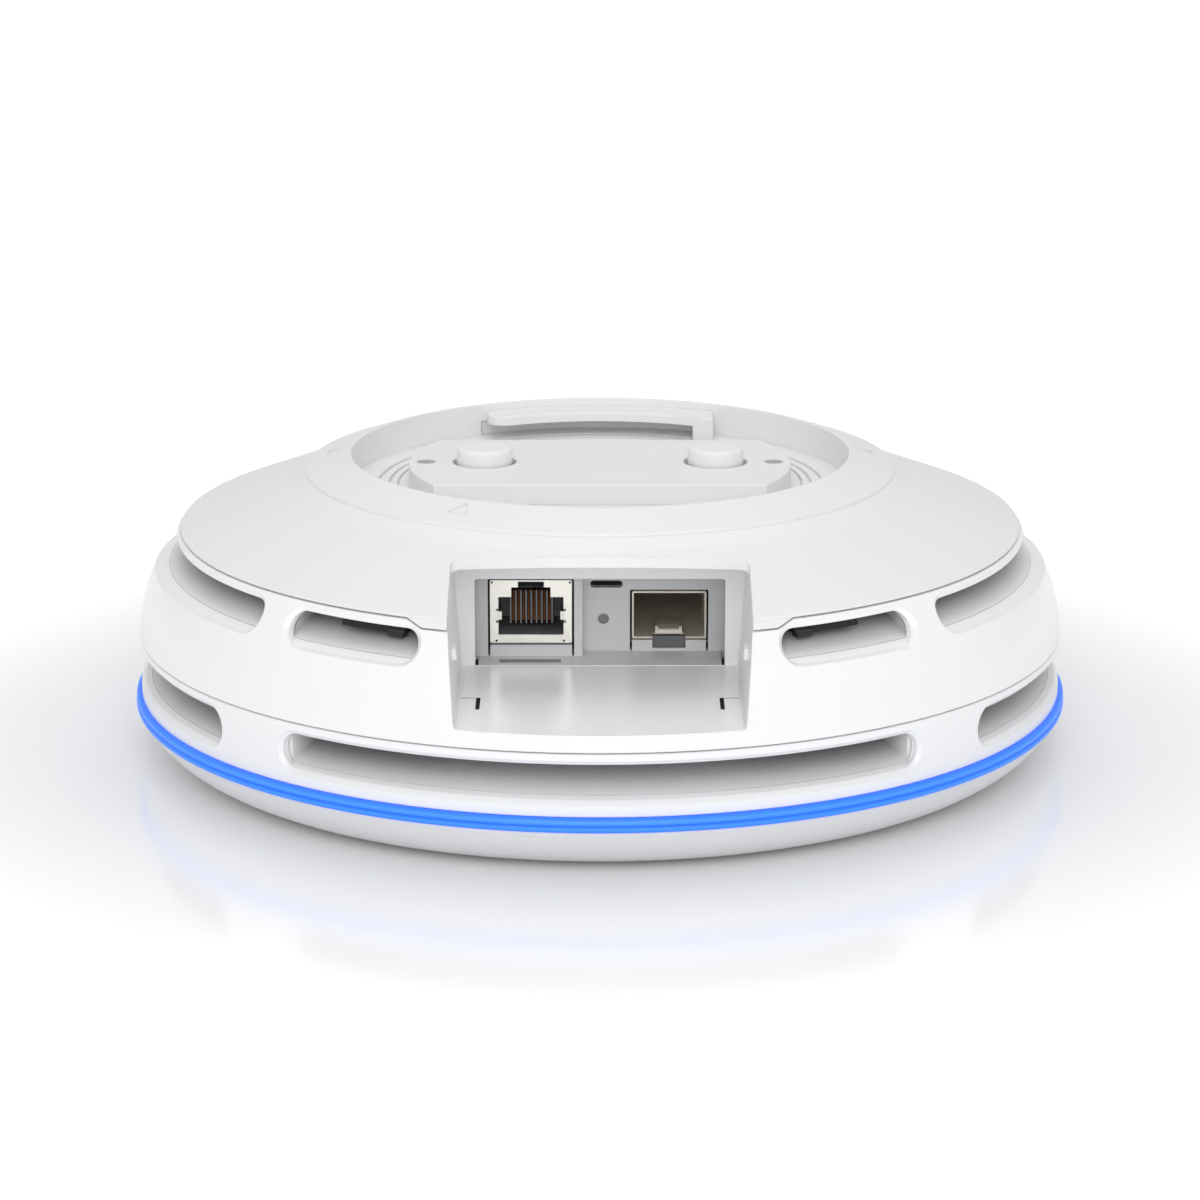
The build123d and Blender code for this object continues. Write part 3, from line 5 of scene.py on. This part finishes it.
import bmesh
import bpy
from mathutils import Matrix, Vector


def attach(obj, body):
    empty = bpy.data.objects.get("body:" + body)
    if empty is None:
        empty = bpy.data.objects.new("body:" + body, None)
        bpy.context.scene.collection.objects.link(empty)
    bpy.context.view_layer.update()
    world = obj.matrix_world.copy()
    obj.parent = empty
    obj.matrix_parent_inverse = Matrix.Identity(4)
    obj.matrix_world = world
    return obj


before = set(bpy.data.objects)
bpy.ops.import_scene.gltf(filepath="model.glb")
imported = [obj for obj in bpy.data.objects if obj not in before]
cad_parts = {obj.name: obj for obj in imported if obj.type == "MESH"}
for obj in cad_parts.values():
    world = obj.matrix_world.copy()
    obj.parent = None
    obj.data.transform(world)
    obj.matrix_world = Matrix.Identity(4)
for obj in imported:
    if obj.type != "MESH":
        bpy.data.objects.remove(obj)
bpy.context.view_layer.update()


# ---- Radome ------------------------------------------------------------------------------------------
# The bottom cover that the radio waves pass through. Injection-moulded ASA, white, with the fine
# spark-eroded skin of its mould. It clips up into the light ring's seat.
MM = 0.001


def linear(code):
    """Linear RGBA of an sRGB hex value."""
    parts = [int(code[i : i + 2], 16) / 255 for i in (1, 3, 5)]
    return (*[p / 12.92 if p <= 0.04045 else ((p + 0.055) / 1.055) ** 2.4 for p in parts], 1.0)


def add(tree, kind, sockets=(), **settings):
    """Adds a node. sockets gives values or other nodes' outputs for its inputs, settings its own fields."""
    made = tree.nodes.new("ShaderNode" + kind)
    for name, value in settings.items():
        setattr(made, name, value)
    for name, value in dict(sockets).items():
        if isinstance(value, bpy.types.NodeSocket):
            tree.links.new(value, made.inputs[name])
        else:
            made.inputs[name].default_value = value
    return made


def blank(name):
    """An empty node material and its tree."""
    made = bpy.data.materials.new(name)
    made.use_nodes = True
    made.node_tree.nodes.clear()
    return made, made.node_tree


def moulded(name, colour, shade, roughness, grain=0.35, relief=0.003, edge=0.25, ior=1.5, polish=None):
    """Moulded plastic: one colour with a faint cloud from the melt's flow, and the mould's fine grain.

    Sizes are in millimetres. polish may be an output that scales the roughness where the mould is polished.
    """
    made, tree = blank(name)
    place = add(tree, "TexCoord").outputs["Object"]
    cloud = add(tree, "TexNoise", {"Vector": place, "Scale": 1 / (28 * MM), "Detail": 2.0})
    mix = {"Fac": cloud.outputs["Fac"], "Color1": linear(colour), "Color2": linear(shade)}
    tone = add(tree, "MixRGB", mix)
    fine = {"Vector": place, "Scale": 1 / (grain * MM), "Detail": 3.0, "Roughness": 0.6}
    skin = add(tree, "TexNoise", fine)
    span = {"Value": skin.outputs["Fac"], "To Min": roughness * 0.9, "To Max": roughness * 1.1}
    spread = add(tree, "MapRange", span)
    rough = spread.outputs["Result"]
    if polish:
        rough = add(tree, "Math", {0: rough, 1: polish(tree, place)}, operation="MULTIPLY").outputs[0]
    soft = add(tree, "Bevel", {"Radius": edge * MM}, samples=4)
    bump = add(
        tree,
        "Bump",
        {
            "Height": skin.outputs["Fac"],
            "Distance": relief * MM,
            "Strength": 1.0,
            "Normal": soft.outputs["Normal"],
        },
    )
    shader = add(
        tree,
        "BsdfPrincipled",
        {
            "Base Color": tone.outputs["Color"],
            "Roughness": rough,
            "IOR": ior,
            "Normal": bump.outputs["Normal"],
        },
    )
    add(tree, "OutputMaterial", {"Surface": shader.outputs["BSDF"]})
    return made


def coat(material, *nodes):
    """Gives CAD nodes a material."""
    for node in nodes:
        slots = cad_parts[node].material_slots
        for each in slots:
            each.link = "OBJECT"
            each.material = material


radome_asa = moulded("moulded_ASA_radome", "#E8E8E9", "#E4E5E6", 0.34, grain=0.3, relief=0.002)
coat(radome_asa, "bottom_cover")

# ---- Light ring --------------------------------------------------------------------------------------
# A light pipe with two rolled ridges, moulded in blue-tinted polycarbonate and lit from inside by the ring
# of light sources. Its blue is darker in the groove between the ridges as painted shade and paler where
# they face out as painted highlight.
RING_FOOT, RING_HEAD = 10.2, 12.9
light_pc, tree = blank("moulded_polycarbonate_light_pipe")
place = add(tree, "TexCoord").outputs["Object"]
height = add(tree, "SeparateXYZ", {"Vector": place}).outputs["Z"]
rise = add(tree, "MapRange", {"Value": height, "From Min": RING_FOOT * MM, "From Max": RING_HEAD * MM})
# Colours by height: painted shade in the groove, painted highlight on the ridges' faces.
painted_ridge_shade = add(tree, "ValToRGB", {"Fac": rise.outputs["Result"]})
ramp = painted_ridge_shade.color_ramp
ramp.elements[0].color = linear("#2268EE")
ramp.elements[1].color = linear("#2A70FA")
for height_share, code in ((0.24, "#3A88FF"), (0.45, "#266CF4"), (0.74, "#428CFF")):
    ramp.elements.new(height_share).color = linear(code)
glow = add(
    tree,
    "BsdfPrincipled",
    {
        "Base Color": painted_ridge_shade.outputs["Color"],
        "Roughness": 0.42,
        "IOR": 1.4,
        "Emission Color": painted_ridge_shade.outputs["Color"],
        "Emission Strength": 0.35,
    },
)
add(tree, "OutputMaterial", {"Surface": glow.outputs["BSDF"]})
coat(light_pc, "light_ring")

# ---- Lower shell, ducts and vents --------------------------------------------------------------------
# The upright ring with four long vents is moulded PC/ABS with a satin skin. Behind the vents lie smooth
# ramps of the same white plastic, which turn rain back out and lead the air to the casting's fins; their
# colour is darkened inwards as painted shade of the deep ducts.
shell_white = moulded("moulded_PC_ABS_satin", "#F4F5F6", "#F2F3F5", 0.32, grain=0.3, relief=0.002)
coat(shell_white, "lower_shell")


def duct_shading(name, inner, outer):
    """The shells' plastic at radius outer, darkened by painted shade that deepens towards radius inner."""
    made, tree = blank(name)
    place = add(tree, "TexCoord").outputs["Object"]
    plan = add(tree, "VectorMath", {0: place, 1: (1, 1, 0)}, operation="MULTIPLY").outputs["Vector"]
    radius = add(tree, "VectorMath", {0: plan}, operation="LENGTH").outputs["Value"]
    depth = add(tree, "MapRange", {"Value": radius, "From Min": outer * MM, "From Max": inner * MM})
    shade_mottle = add(tree, "TexNoise", {"Vector": place, "Scale": 1 / (1.2 * MM), "Detail": 3.0})
    shade_jitter = add(tree, "MapRange", {"Value": shade_mottle.outputs["Fac"], "To Min": 0.92, "To Max": 1.08})
    both = {0: depth.outputs["Result"], 1: shade_jitter.outputs["Result"]}
    inward_shade = add(tree, "Math", both, operation="MULTIPLY").outputs[0]
    # Color2 is painted shade, laid on more deeply further into the duct.
    tone = add(tree, "MixRGB", {"Fac": inward_shade, "Color1": linear("#EAEAEA"), "Color2": linear("#545457")})
    shader = add(tree, "BsdfPrincipled", {"Base Color": tone.outputs["Color"], "Roughness": 0.48})
    add(tree, "OutputMaterial", {"Surface": shader.outputs["BSDF"]})
    return made


coat(duct_shading("moulded_PC_ABS_lower_duct", 80.0, 92.0), "lower_duct")
coat(duct_shading("moulded_PC_ABS_upper_duct", 78.0, 88.0), "upper_duct")

# ---- Middle shell with the port bay ------------------------------------------------------------------
# Moulded in one with the bay's floor and side walls. The mould is polished in the bay, so its floor shows
# a blurred image of the connectors, while the outside keeps the satin skin.
BAY_HALF, BAY_BACK, BAY_FOOT = 28.6, 46.0, 28.0
BAY_SHEEN = 0.78


def bay_polish(tree, place):
    """Scale of the roughness: BAY_SHEEN inside the port bay, 1 elsewhere."""
    axes = add(tree, "SeparateXYZ", {"Vector": place})
    side = add(tree, "Math", {0: axes.outputs["X"]}, operation="ABSOLUTE").outputs[0]
    within = add(tree, "Math", {0: side, 1: BAY_HALF * MM}, operation="LESS_THAN").outputs[0]
    front = add(tree, "Math", {0: axes.outputs["Y"], 1: -BAY_BACK * MM}, operation="LESS_THAN").outputs[0]
    both = add(tree, "Math", {0: within, 1: front}, operation="MULTIPLY").outputs[0]
    floor = add(tree, "Math", {0: axes.outputs["Z"], 1: BAY_FOOT * MM}, operation="GREATER_THAN").outputs[0]
    inside = add(tree, "Math", {0: both, 1: floor}, operation="MULTIPLY").outputs[0]
    return add(tree, "MapRange", {"Value": inside, "To Min": 1.0, "To Max": BAY_SHEEN}).outputs["Result"]


middle_white = moulded(
    "moulded_PC_ABS_bay", "#F4F5F6", "#F2F3F5", 0.32, grain=0.3, relief=0.002, polish=bay_polish
)
coat(middle_white, "middle_shell")

# Small moulded tabs stand on the bay's side walls, where the cable cover's catches snap in.
TAB_Y, TAB_Z, TAB_PROUD = (-74.0, -69.5), (36.9, 39.1), 0.75
FLOOR_HALF, FLOOR_Z, WALL_LEAN = 26.8, 28.47, 0.0702


def prism(name, outline, at, depth, round_off=0.15):
    """Closed solid: an outline of (u, v) points pushed from depth[0] to depth[1].

    at turns (u, v, w) into a place in millimetres.
    """
    shape = bmesh.new()
    low = [shape.verts.new(Vector(at(u, v, depth[0])) * MM) for u, v in outline]
    high = [shape.verts.new(Vector(at(u, v, depth[1])) * MM) for u, v in outline]
    shape.faces.new(low)
    shape.faces.new(list(reversed(high)))
    for i, corner in enumerate(low):
        j = (i + 1) % len(low)
        shape.faces.new((corner, high[i], high[j], low[j]))
    bmesh.ops.recalc_face_normals(shape, faces=shape.faces)
    mesh = bpy.data.meshes.new(name)
    shape.to_mesh(mesh)
    shape.free()
    made = bpy.data.objects.new(name, mesh)
    bpy.context.scene.collection.objects.link(made)
    if round_off:
        soften = made.modifiers.new("rounded", "BEVEL")
        soften.width = round_off * MM
        soften.segments = 3
        soften.harden_normals = False
    return made


def rounded(left, right, foot, head, radius, steps=4):
    """Outline of a rectangle with round corners."""
    corners = ((right, head, 0), (left, head, 90), (left, foot, 180), (right, foot, 270))
    points = []
    for x, y, start in corners:
        centre_x = x - radius if x == right else x + radius
        centre_y = y - radius if y == head else y + radius
        for step in range(steps + 1):
            turn = math.radians(start + 90 * step / steps)
            points.append((centre_x + radius * math.cos(turn), centre_y + radius * math.sin(turn)))
    return points


for side, word in ((-1, "left"), (1, "right")):

    def on_wall(y, z, proud, side=side):
        return side * (FLOOR_HALF + (z - FLOOR_Z) * WALL_LEAN - proud), y, z

    tab = prism(f"catch_tab_{word}", rounded(*TAB_Y, *TAB_Z, 0.4), on_wall, (-0.4, TAB_PROUD), 0.2)
    tab.data.materials.append(shell_white)
    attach(tab, "body")

# Black fills stand under the floor's catch slots and in the gaps that part the floor from the bezel's legs,
# as painted shade of these openings.
gap_shade_black = moulded("painted_shade_in_openings", "#1C1D1F", "#151618", 0.8, grain=0.25, relief=0.006, edge=0.05)
SLOT_LINE = ((22.44, 26.6), (-69.87, -69.53), (27.6, 28.46))
SLOT_SIDE = ((22.44, 23.24), (-77.2, -69.7), (26.9, 27.7))
LEG_GAP = ((23.6, 24.35), (-47.55, -43.4), (28.3, 28.51))


def flat(x, y, z):
    return x, y, z


fills = {"slot_line": SLOT_LINE, "slot_side": SLOT_SIDE, "leg_gap": LEG_GAP}
for part_name, (reach_x, reach_y, reach_z) in fills.items():
    for side, word in ((-1, "left"), (1, "right")):
        outline = [(side * x, y) for x, y in rounded(*reach_x, *reach_y, 0.05)]
        fill = prism(f"{part_name}_{word}", outline, flat, reach_z, 0)
        fill.data.materials.append(gap_shade_black)
        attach(fill, "body")

# ---- Top cover ---------------------------------------------------------------------------------------
# The cone and collar are one moulding of white PC/ABS with a finer, flatter skin than the shells, so it
# reads a little greyer. The arrow marks, the bayonet ledges and the ringed floor are moulded in.
cover_white = moulded("moulded_PC_ABS_matt", "#ECEDEE", "#E9EAEB", 0.5, grain=0.45, relief=0.004)
coat(cover_white, "top_cover")

# ---- Mount plate and its screws ----------------------------------------------------------------------
# A flat-sided plate of the same matt white, drawn down by four zinc-plated screws from below.
plate_white = moulded("moulded_glass_filled_nylon", "#ECEDEE", "#E8E9EA", 0.46, grain=0.45, relief=0.004)
coat(plate_white, "mount_plate")

# Each dimple's floor carries a dull grey disc, painted shade of the dimple's hollow.
DIMPLE_X, DIMPLE_R, DIMPLE_FLOOR, SHADE_TOP, SHADE_SIDES = 35.45, 1.85, 57.4, 57.96, 32
dimple_shade = moulded("painted_dimple_hollow_shade", "#A6A7A9", "#A0A1A3", 0.7, grain=0.2, relief=0.004, edge=0.05)
for side, word in ((-1, "left"), (1, "right")):
    turns = [math.tau * i / SHADE_SIDES for i in range(SHADE_SIDES)]
    ring = [(side * DIMPLE_X + DIMPLE_R * math.cos(turn), DIMPLE_R * math.sin(turn)) for turn in turns]
    shade_disc = prism(f"dimple_shade_{word}", ring, flat, (DIMPLE_FLOOR, SHADE_TOP), 0)
    shade_disc.data.materials.append(dimple_shade)
    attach(shade_disc, "body")


def metal(name, colour, shade, roughness, streak=(0.2, 6.0), along="X", relief=0.001, edge=0.12, bare=1.0):
    """Worked metal: fine streaks along one axis, streak giving their width and length in millimetres.

    bare below 1 stands for a matt film of oxide over part of it.
    """
    made, tree = blank(name)
    place = add(tree, "TexCoord").outputs["Object"]
    squeeze = [1 / (streak[0] * MM)] * 3
    squeeze["XYZ".index(along)] = 1 / (streak[1] * MM)
    stretched = add(tree, "Mapping", {"Vector": place, "Scale": squeeze})
    lines = add(tree, "TexNoise", {"Vector": stretched.outputs["Vector"], "Scale": 1.0, "Detail": 2.0})
    mix = {"Fac": lines.outputs["Fac"], "Color1": linear(colour), "Color2": linear(shade)}
    tone = add(tree, "MixRGB", mix)
    span = {"Value": lines.outputs["Fac"], "To Min": roughness * 0.85, "To Max": roughness * 1.15}
    spread = add(tree, "MapRange", span)
    soft = add(tree, "Bevel", {"Radius": edge * MM}, samples=4)
    bump = add(
        tree,
        "Bump",
        {
            "Height": lines.outputs["Fac"],
            "Distance": relief * MM,
            "Strength": 1.0,
            "Normal": soft.outputs["Normal"],
        },
    )
    shader = add(
        tree,
        "BsdfPrincipled",
        {
            "Base Color": tone.outputs["Color"],
            "Metallic": bare,
            "Roughness": spread.outputs["Result"],
            "Normal": bump.outputs["Normal"],
        },
    )
    add(tree, "OutputMaterial", {"Surface": shader.outputs["BSDF"]})
    return made


zinc = metal("zinc_plated_steel", "#B9BCC0", "#9DA0A5", 0.3, streak=(0.15, 0.6), along="Z")
coat(zinc, "plate_screws", "cover_screws", "board_screws", "antenna_screws", "antenna_standoffs")

# ---- Lock plungers, their springs and guide cups -----------------------------------------------------
# Two sprung acetal posts stand through the plate and lock the bracket. Acetal is slick and a touch warmer
# than the shells. Each post rides in a black nylon cup on a spring of drawn music wire.
acetal = moulded("turned_acetal", "#F2F2F1", "#EEEEED", 0.36, grain=0.3, relief=0.002, ior=1.48)
coat(acetal, "lock_plunger_left", "lock_plunger_right")
wire = metal("drawn_music_wire", "#A8AAAE", "#8A8C90", 0.28, streak=(0.1, 1.5), along="Z")
coat(wire, "plunger_spring_left", "plunger_spring_right")
black_nylon = moulded("moulded_black_nylon", "#1B1C1E", "#151618", 0.45, grain=0.3, relief=0.004)
coat(black_nylon, "plunger_guides", "bay_bracket")

# ---- Port bezel and connector panel ------------------------------------------------------------------
# The bezel is a white frame set back in the bay. The stepped panel behind it holds the connectors' mouths,
# the reset button and a pill-shaped slot, and has a flatter skin, coloured slightly greyer than the bezel.
bezel_white = moulded("moulded_ABS_bezel", "#F6F7F8", "#F4F5F6", 0.34, grain=0.3, relief=0.002)
coat(bezel_white, "port_bezel")
panel_white = moulded("moulded_ABS_panel", "#DFE0E1", "#DCDDDE", 0.42, grain=0.35, relief=0.003)
coat(panel_white, "connector_panel")

# A fine rounded lip of the panel's foot meets the bay's floor along the bezel.
LIP_HALF, LIP_Y = 26.2, (-47.85, -47.6)
lip_outline = rounded(-LIP_HALF, LIP_HALF, *LIP_Y, 0.1)
lip = prism("panel_lip", lip_outline, flat, (FLOOR_Z - 0.2, FLOOR_Z + 0.1), 0.08)
lip.data.materials.append(bezel_white)
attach(lip, "body")

# A grey strip is let into the panel's foot under the jack.
STRIP_X, STRIP_Y = (-19.6, -7.6), (-45.5, -43.4)
grey_inlay = moulded("plain_grey_strip", "#9B9C9E", "#8F9092", 0.75, grain=0.25, relief=0.01, edge=0.1)
strip = prism("panel_foot_strip", rounded(*STRIP_X, *STRIP_Y, 0.2), flat, (FLOOR_Z - 0.3, FLOOR_Z + 0.06), 0.03)
strip.data.materials.append(grey_inlay)
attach(strip, "body")

# ---- Seals -------------------------------------------------------------------------------------------
# Black EPDM behind the panel and between radome and casting. It is dull, with a fine blasted skin.
epdm = moulded("moulded_EPDM", "#101112", "#0C0D0E", 0.7, grain=0.2, relief=0.006, edge=0.15)
coat(epdm, "port_seal", "core_seal")

# ---- Network jack ------------------------------------------------------------------------------------
# A folded shield of nickel-plated steel over a charcoal insert, with eight contacts of gold-flashed bronze.
nickel = metal("nickel_plated_steel", "#F3F0EA", "#E9E5DD", 0.42, streak=(0.12, 5.0), relief=0.0006)
coat(nickel, "rj45_shield")

# Bend reliefs pierce the shield's face at its corners.
SHIELD_FACE_Y, RELIEF_HALF = -40.6, 0.2
reliefs = ((-21.05, 43.25), (-5.86, 43.25), (-20.2, 31.5), (-7.05, 31.5))
pit_black = moulded("pierced_relief_in_shadow", "#16171A", "#121315", 0.8, grain=0.2, relief=0.002, edge=0.02)


def facing(x, z, y):
    return x, y, z


for count, (x, z) in enumerate(reliefs):
    outline = rounded(x - RELIEF_HALF, x + RELIEF_HALF, z - RELIEF_HALF, z + RELIEF_HALF, 0.1)
    reach_y = (SHIELD_FACE_Y - 0.01, SHIELD_FACE_Y + 0.15)
    pit = prism(f"bend_relief_{count}", outline, facing, reach_y, 0)
    pit.data.materials.append(pit_black)
    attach(pit, "body")

# The insert is charcoal plastic; its colour is lightened to a mid grey as painted light for the deep jack's
# interior.
charcoal = moulded("moulded_LCP_charcoal", "#808184", "#787A7C", 0.5, grain=0.25, relief=0.003, edge=0.12)
coat(charcoal, "rj45_insert", "sfp_connector")
# The contacts are gold-flashed; their colour is darkened to a deep brown as painted shade of the jack's deep
# cavity.
gold = metal(
    "gold_flashed_bronze", "#54341E", "#3A2212", 0.45, streak=(0.05, 1.0), along="Y", relief=0.0005, edge=0.05
)
coat(gold, "rj45_contacts", "sfp_contacts")

# ---- Optical module cage -----------------------------------------------------------------------------
# Stamped and folded from thin tinned steel, duller than the jack's shield, with a springy latch leaf.
tinned = metal(
    "tinned_steel", "#EBE4D8", "#DBD3C6", 0.45, streak=(0.12, 6.0), along="Y", relief=0.0008, bare=0.4
)
coat(tinned, "sfp_cage", "sfp_latch_leaf", "shield_cans")

# A row of slots in the cage's wall frees its grounding fingers, and a dark grey block in the latch's recess
# is painted shade.
CAGE_WALL_X, FINGER_Y, FINGER_PITCH, FINGER_SLOT = 20.47, (-36.5, -35.2), 1.4, 0.95
FINGER_SLOTS, FIRST_SLOT_Z = 6, 32.0


def on_cage_wall(y, z, x):
    return x, y, z


for count in range(FINGER_SLOTS):
    foot = FIRST_SLOT_Z + count * FINGER_PITCH
    outline = rounded(*FINGER_Y, foot, foot + FINGER_SLOT, 0.15)
    reach_x = (CAGE_WALL_X - 0.04, CAGE_WALL_X + 0.1)
    finger = prism(f"finger_slot_{count}", outline, on_cage_wall, reach_x, 0)
    finger.data.materials.append(pit_black)
    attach(finger, "body")

RECESS_X, RECESS_Z, RECESS_Y = (10.4, 16.65), (29.0, 31.3), (-36.35, -35.5)
recess_shade_grey = moulded("painted_latch_recess_shade", "#6E6F71", "#68696B", 0.5, grain=0.25, relief=0.003, edge=0.1)
recess_shade_block = prism("recess_shade_block", rounded(*RECESS_X, *RECESS_Z, 0.15), facing, RECESS_Y, 0.08)
recess_shade_block.data.materials.append(recess_shade_grey)
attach(recess_shade_block, "body")

# ---- Reset button ------------------------------------------------------------------------------------
# A small pin of mid-grey ABS that works the switch behind the panel.
button_grey = moulded("moulded_ABS_grey", "#8A8B8D", "#848587", 0.45, grain=0.2, relief=0.002, edge=0.1)
coat(button_grey, "reset_button")
coat(black_nylon, "reset_switch", "board_connector", "network_magnetics")

# ---- Casting -----------------------------------------------------------------------------------------
# The finned core is die-cast aluminium, left as cast: grey, grainy, with a soft sheen.
cast = metal(
    "die_cast_aluminium", "#B4B6B8", "#9A9C9F", 0.5, streak=(0.8, 0.9), along="Z", relief=0.02, edge=0.4
)
coat(cast, "core_housing")
sheet = metal("rolled_aluminium", "#CFD1D3", "#BFC1C4", 0.34, streak=(0.3, 40.0), along="X", relief=0.002)
coat(sheet, "ground_plate")

# ---- Boards and what is on them ----------------------------------------------------------------------
# Glass-epoxy laminate under green solder mask, with the paler lines of the copper tracks beneath it.
laminate, tree = blank("solder_masked_laminate")
place = add(tree, "TexCoord").outputs["Object"]
tracks = add(
    tree,
    "TexBrick",
    {
        "Vector": place,
        "Scale": 1 / (14 * MM),
        "Mortar Size": 0.012,
        "Color1": linear("#0F4A2A"),
        "Color2": linear("#0C4125"),
        "Mortar": linear("#2C7A4C"),
    },
)
gloss = {"Base Color": tracks.outputs["Color"], "Roughness": 0.28, "Coat Weight": 0.4}
mask = add(tree, "BsdfPrincipled", gloss)
add(tree, "OutputMaterial", {"Surface": mask.outputs["BSDF"]})
coat(laminate, "main_board", "antenna_board", "led_board")
epoxy = moulded("moulded_epoxy_package", "#202124", "#1A1B1D", 0.4, grain=0.2, relief=0.003, edge=0.15)
coat(epoxy, "main_processor", "memory_chips", "power_transformer", "filter_capacitors")
copper = metal("tinned_copper_patch", "#D0A27A", "#BE8F66", 0.34, streak=(0.3, 5.0), along="X")
coat(copper, "antenna_patches")
pad_grey = moulded("silicone_thermal_pad", "#8F979F", "#858C94", 0.65, grain=0.2, relief=0.01)
coat(pad_grey, "thermal_pads")
lens_white = moulded("clear_silicone_over_phosphor", "#F2EBC8", "#EDE4B6", 0.25, grain=0.2, relief=0.001)
coat(lens_white, "ring_leds")

# ---- Floor, light and camera -------------------------------------------------------------------------
# A white acrylic table, lit from inside away from the part and faintly glossy, stands in a bright even
# tent. A broad key light shines from over the camera.
FLOOR_REACH = 4.0
GLOW_START, GLOW_FULL, TABLE_GLOW = 98.0, 230.0, 0.4  # the table's inner light rises between these radii
floor_acrylic, tree = blank("white_backlit_acrylic")
place = add(tree, "TexCoord").outputs["Object"]
distance = add(tree, "VectorMath", {0: place}, operation="LENGTH").outputs["Value"]
glow_rise = add(
    tree,
    "MapRange",
    {
        "Value": distance,
        "From Min": GLOW_START * MM,
        "From Max": GLOW_FULL * MM,
        "To Max": TABLE_GLOW,
    },
    interpolation_type="SMOOTHSTEP",
)
acrylic = add(
    tree,
    "BsdfPrincipled",
    {
        "Base Color": linear("#FDFDFD"),
        "Roughness": 0.16,
        "IOR": 1.45,
        "Emission Color": linear("#FFFFFF"),
        "Emission Strength": glow_rise.outputs["Result"],
    },
)
add(tree, "OutputMaterial", {"Surface": acrylic.outputs["BSDF"]})
bpy.ops.mesh.primitive_plane_add(size=2 * FLOOR_REACH, location=(0, 0, 0))
table_top = bpy.context.object
table_top.name = "table_top"
table_top.data.materials.append(floor_acrylic)

world = bpy.data.worlds.new("tent")
bpy.context.scene.world = world
world.use_nodes = True
world.node_tree.nodes["Background"].inputs["Color"].default_value = (1, 1, 1, 1)
world.node_tree.nodes["Background"].inputs["Strength"].default_value = 0.62


def softbox(name, place, aim, width, power):
    """Square area light at a place in metres, aimed at a point."""
    data = bpy.data.lights.new(name, "AREA")
    data.shape = "SQUARE"
    data.size = width
    data.energy = power
    made = bpy.data.objects.new(name, data)
    made.location = place
    made.rotation_euler = (Vector(aim) - Vector(place)).to_track_quat("-Z", "Y").to_euler()
    bpy.context.scene.collection.objects.link(made)


softbox("key", (0.0, -1.7, 1.0), (0, 0, 0.03), 1.2, 10.6)
softbox("top", (0.0, 0.5, 1.7), (0, 0, 0.0), 1.4, 7)
softbox("fill", (0.0, -0.85, 0.2), (0, -0.04, 0.035), 0.12, 0.42)

camera = bpy.data.objects.new("camera", bpy.data.cameras.new("camera"))
camera.data.sensor_width = 36
camera.data.lens = 109.8
camera.data.clip_start = 0.01
camera.location = (0, -0.72889, 0.22429)
camera.rotation_euler = (math.radians(74.989), 0, 0)
bpy.context.scene.collection.objects.link(camera)
bpy.context.scene.camera = camera
bpy.context.scene.view_settings.view_transform = "Standard"
bpy.context.scene.view_settings.look = "None"
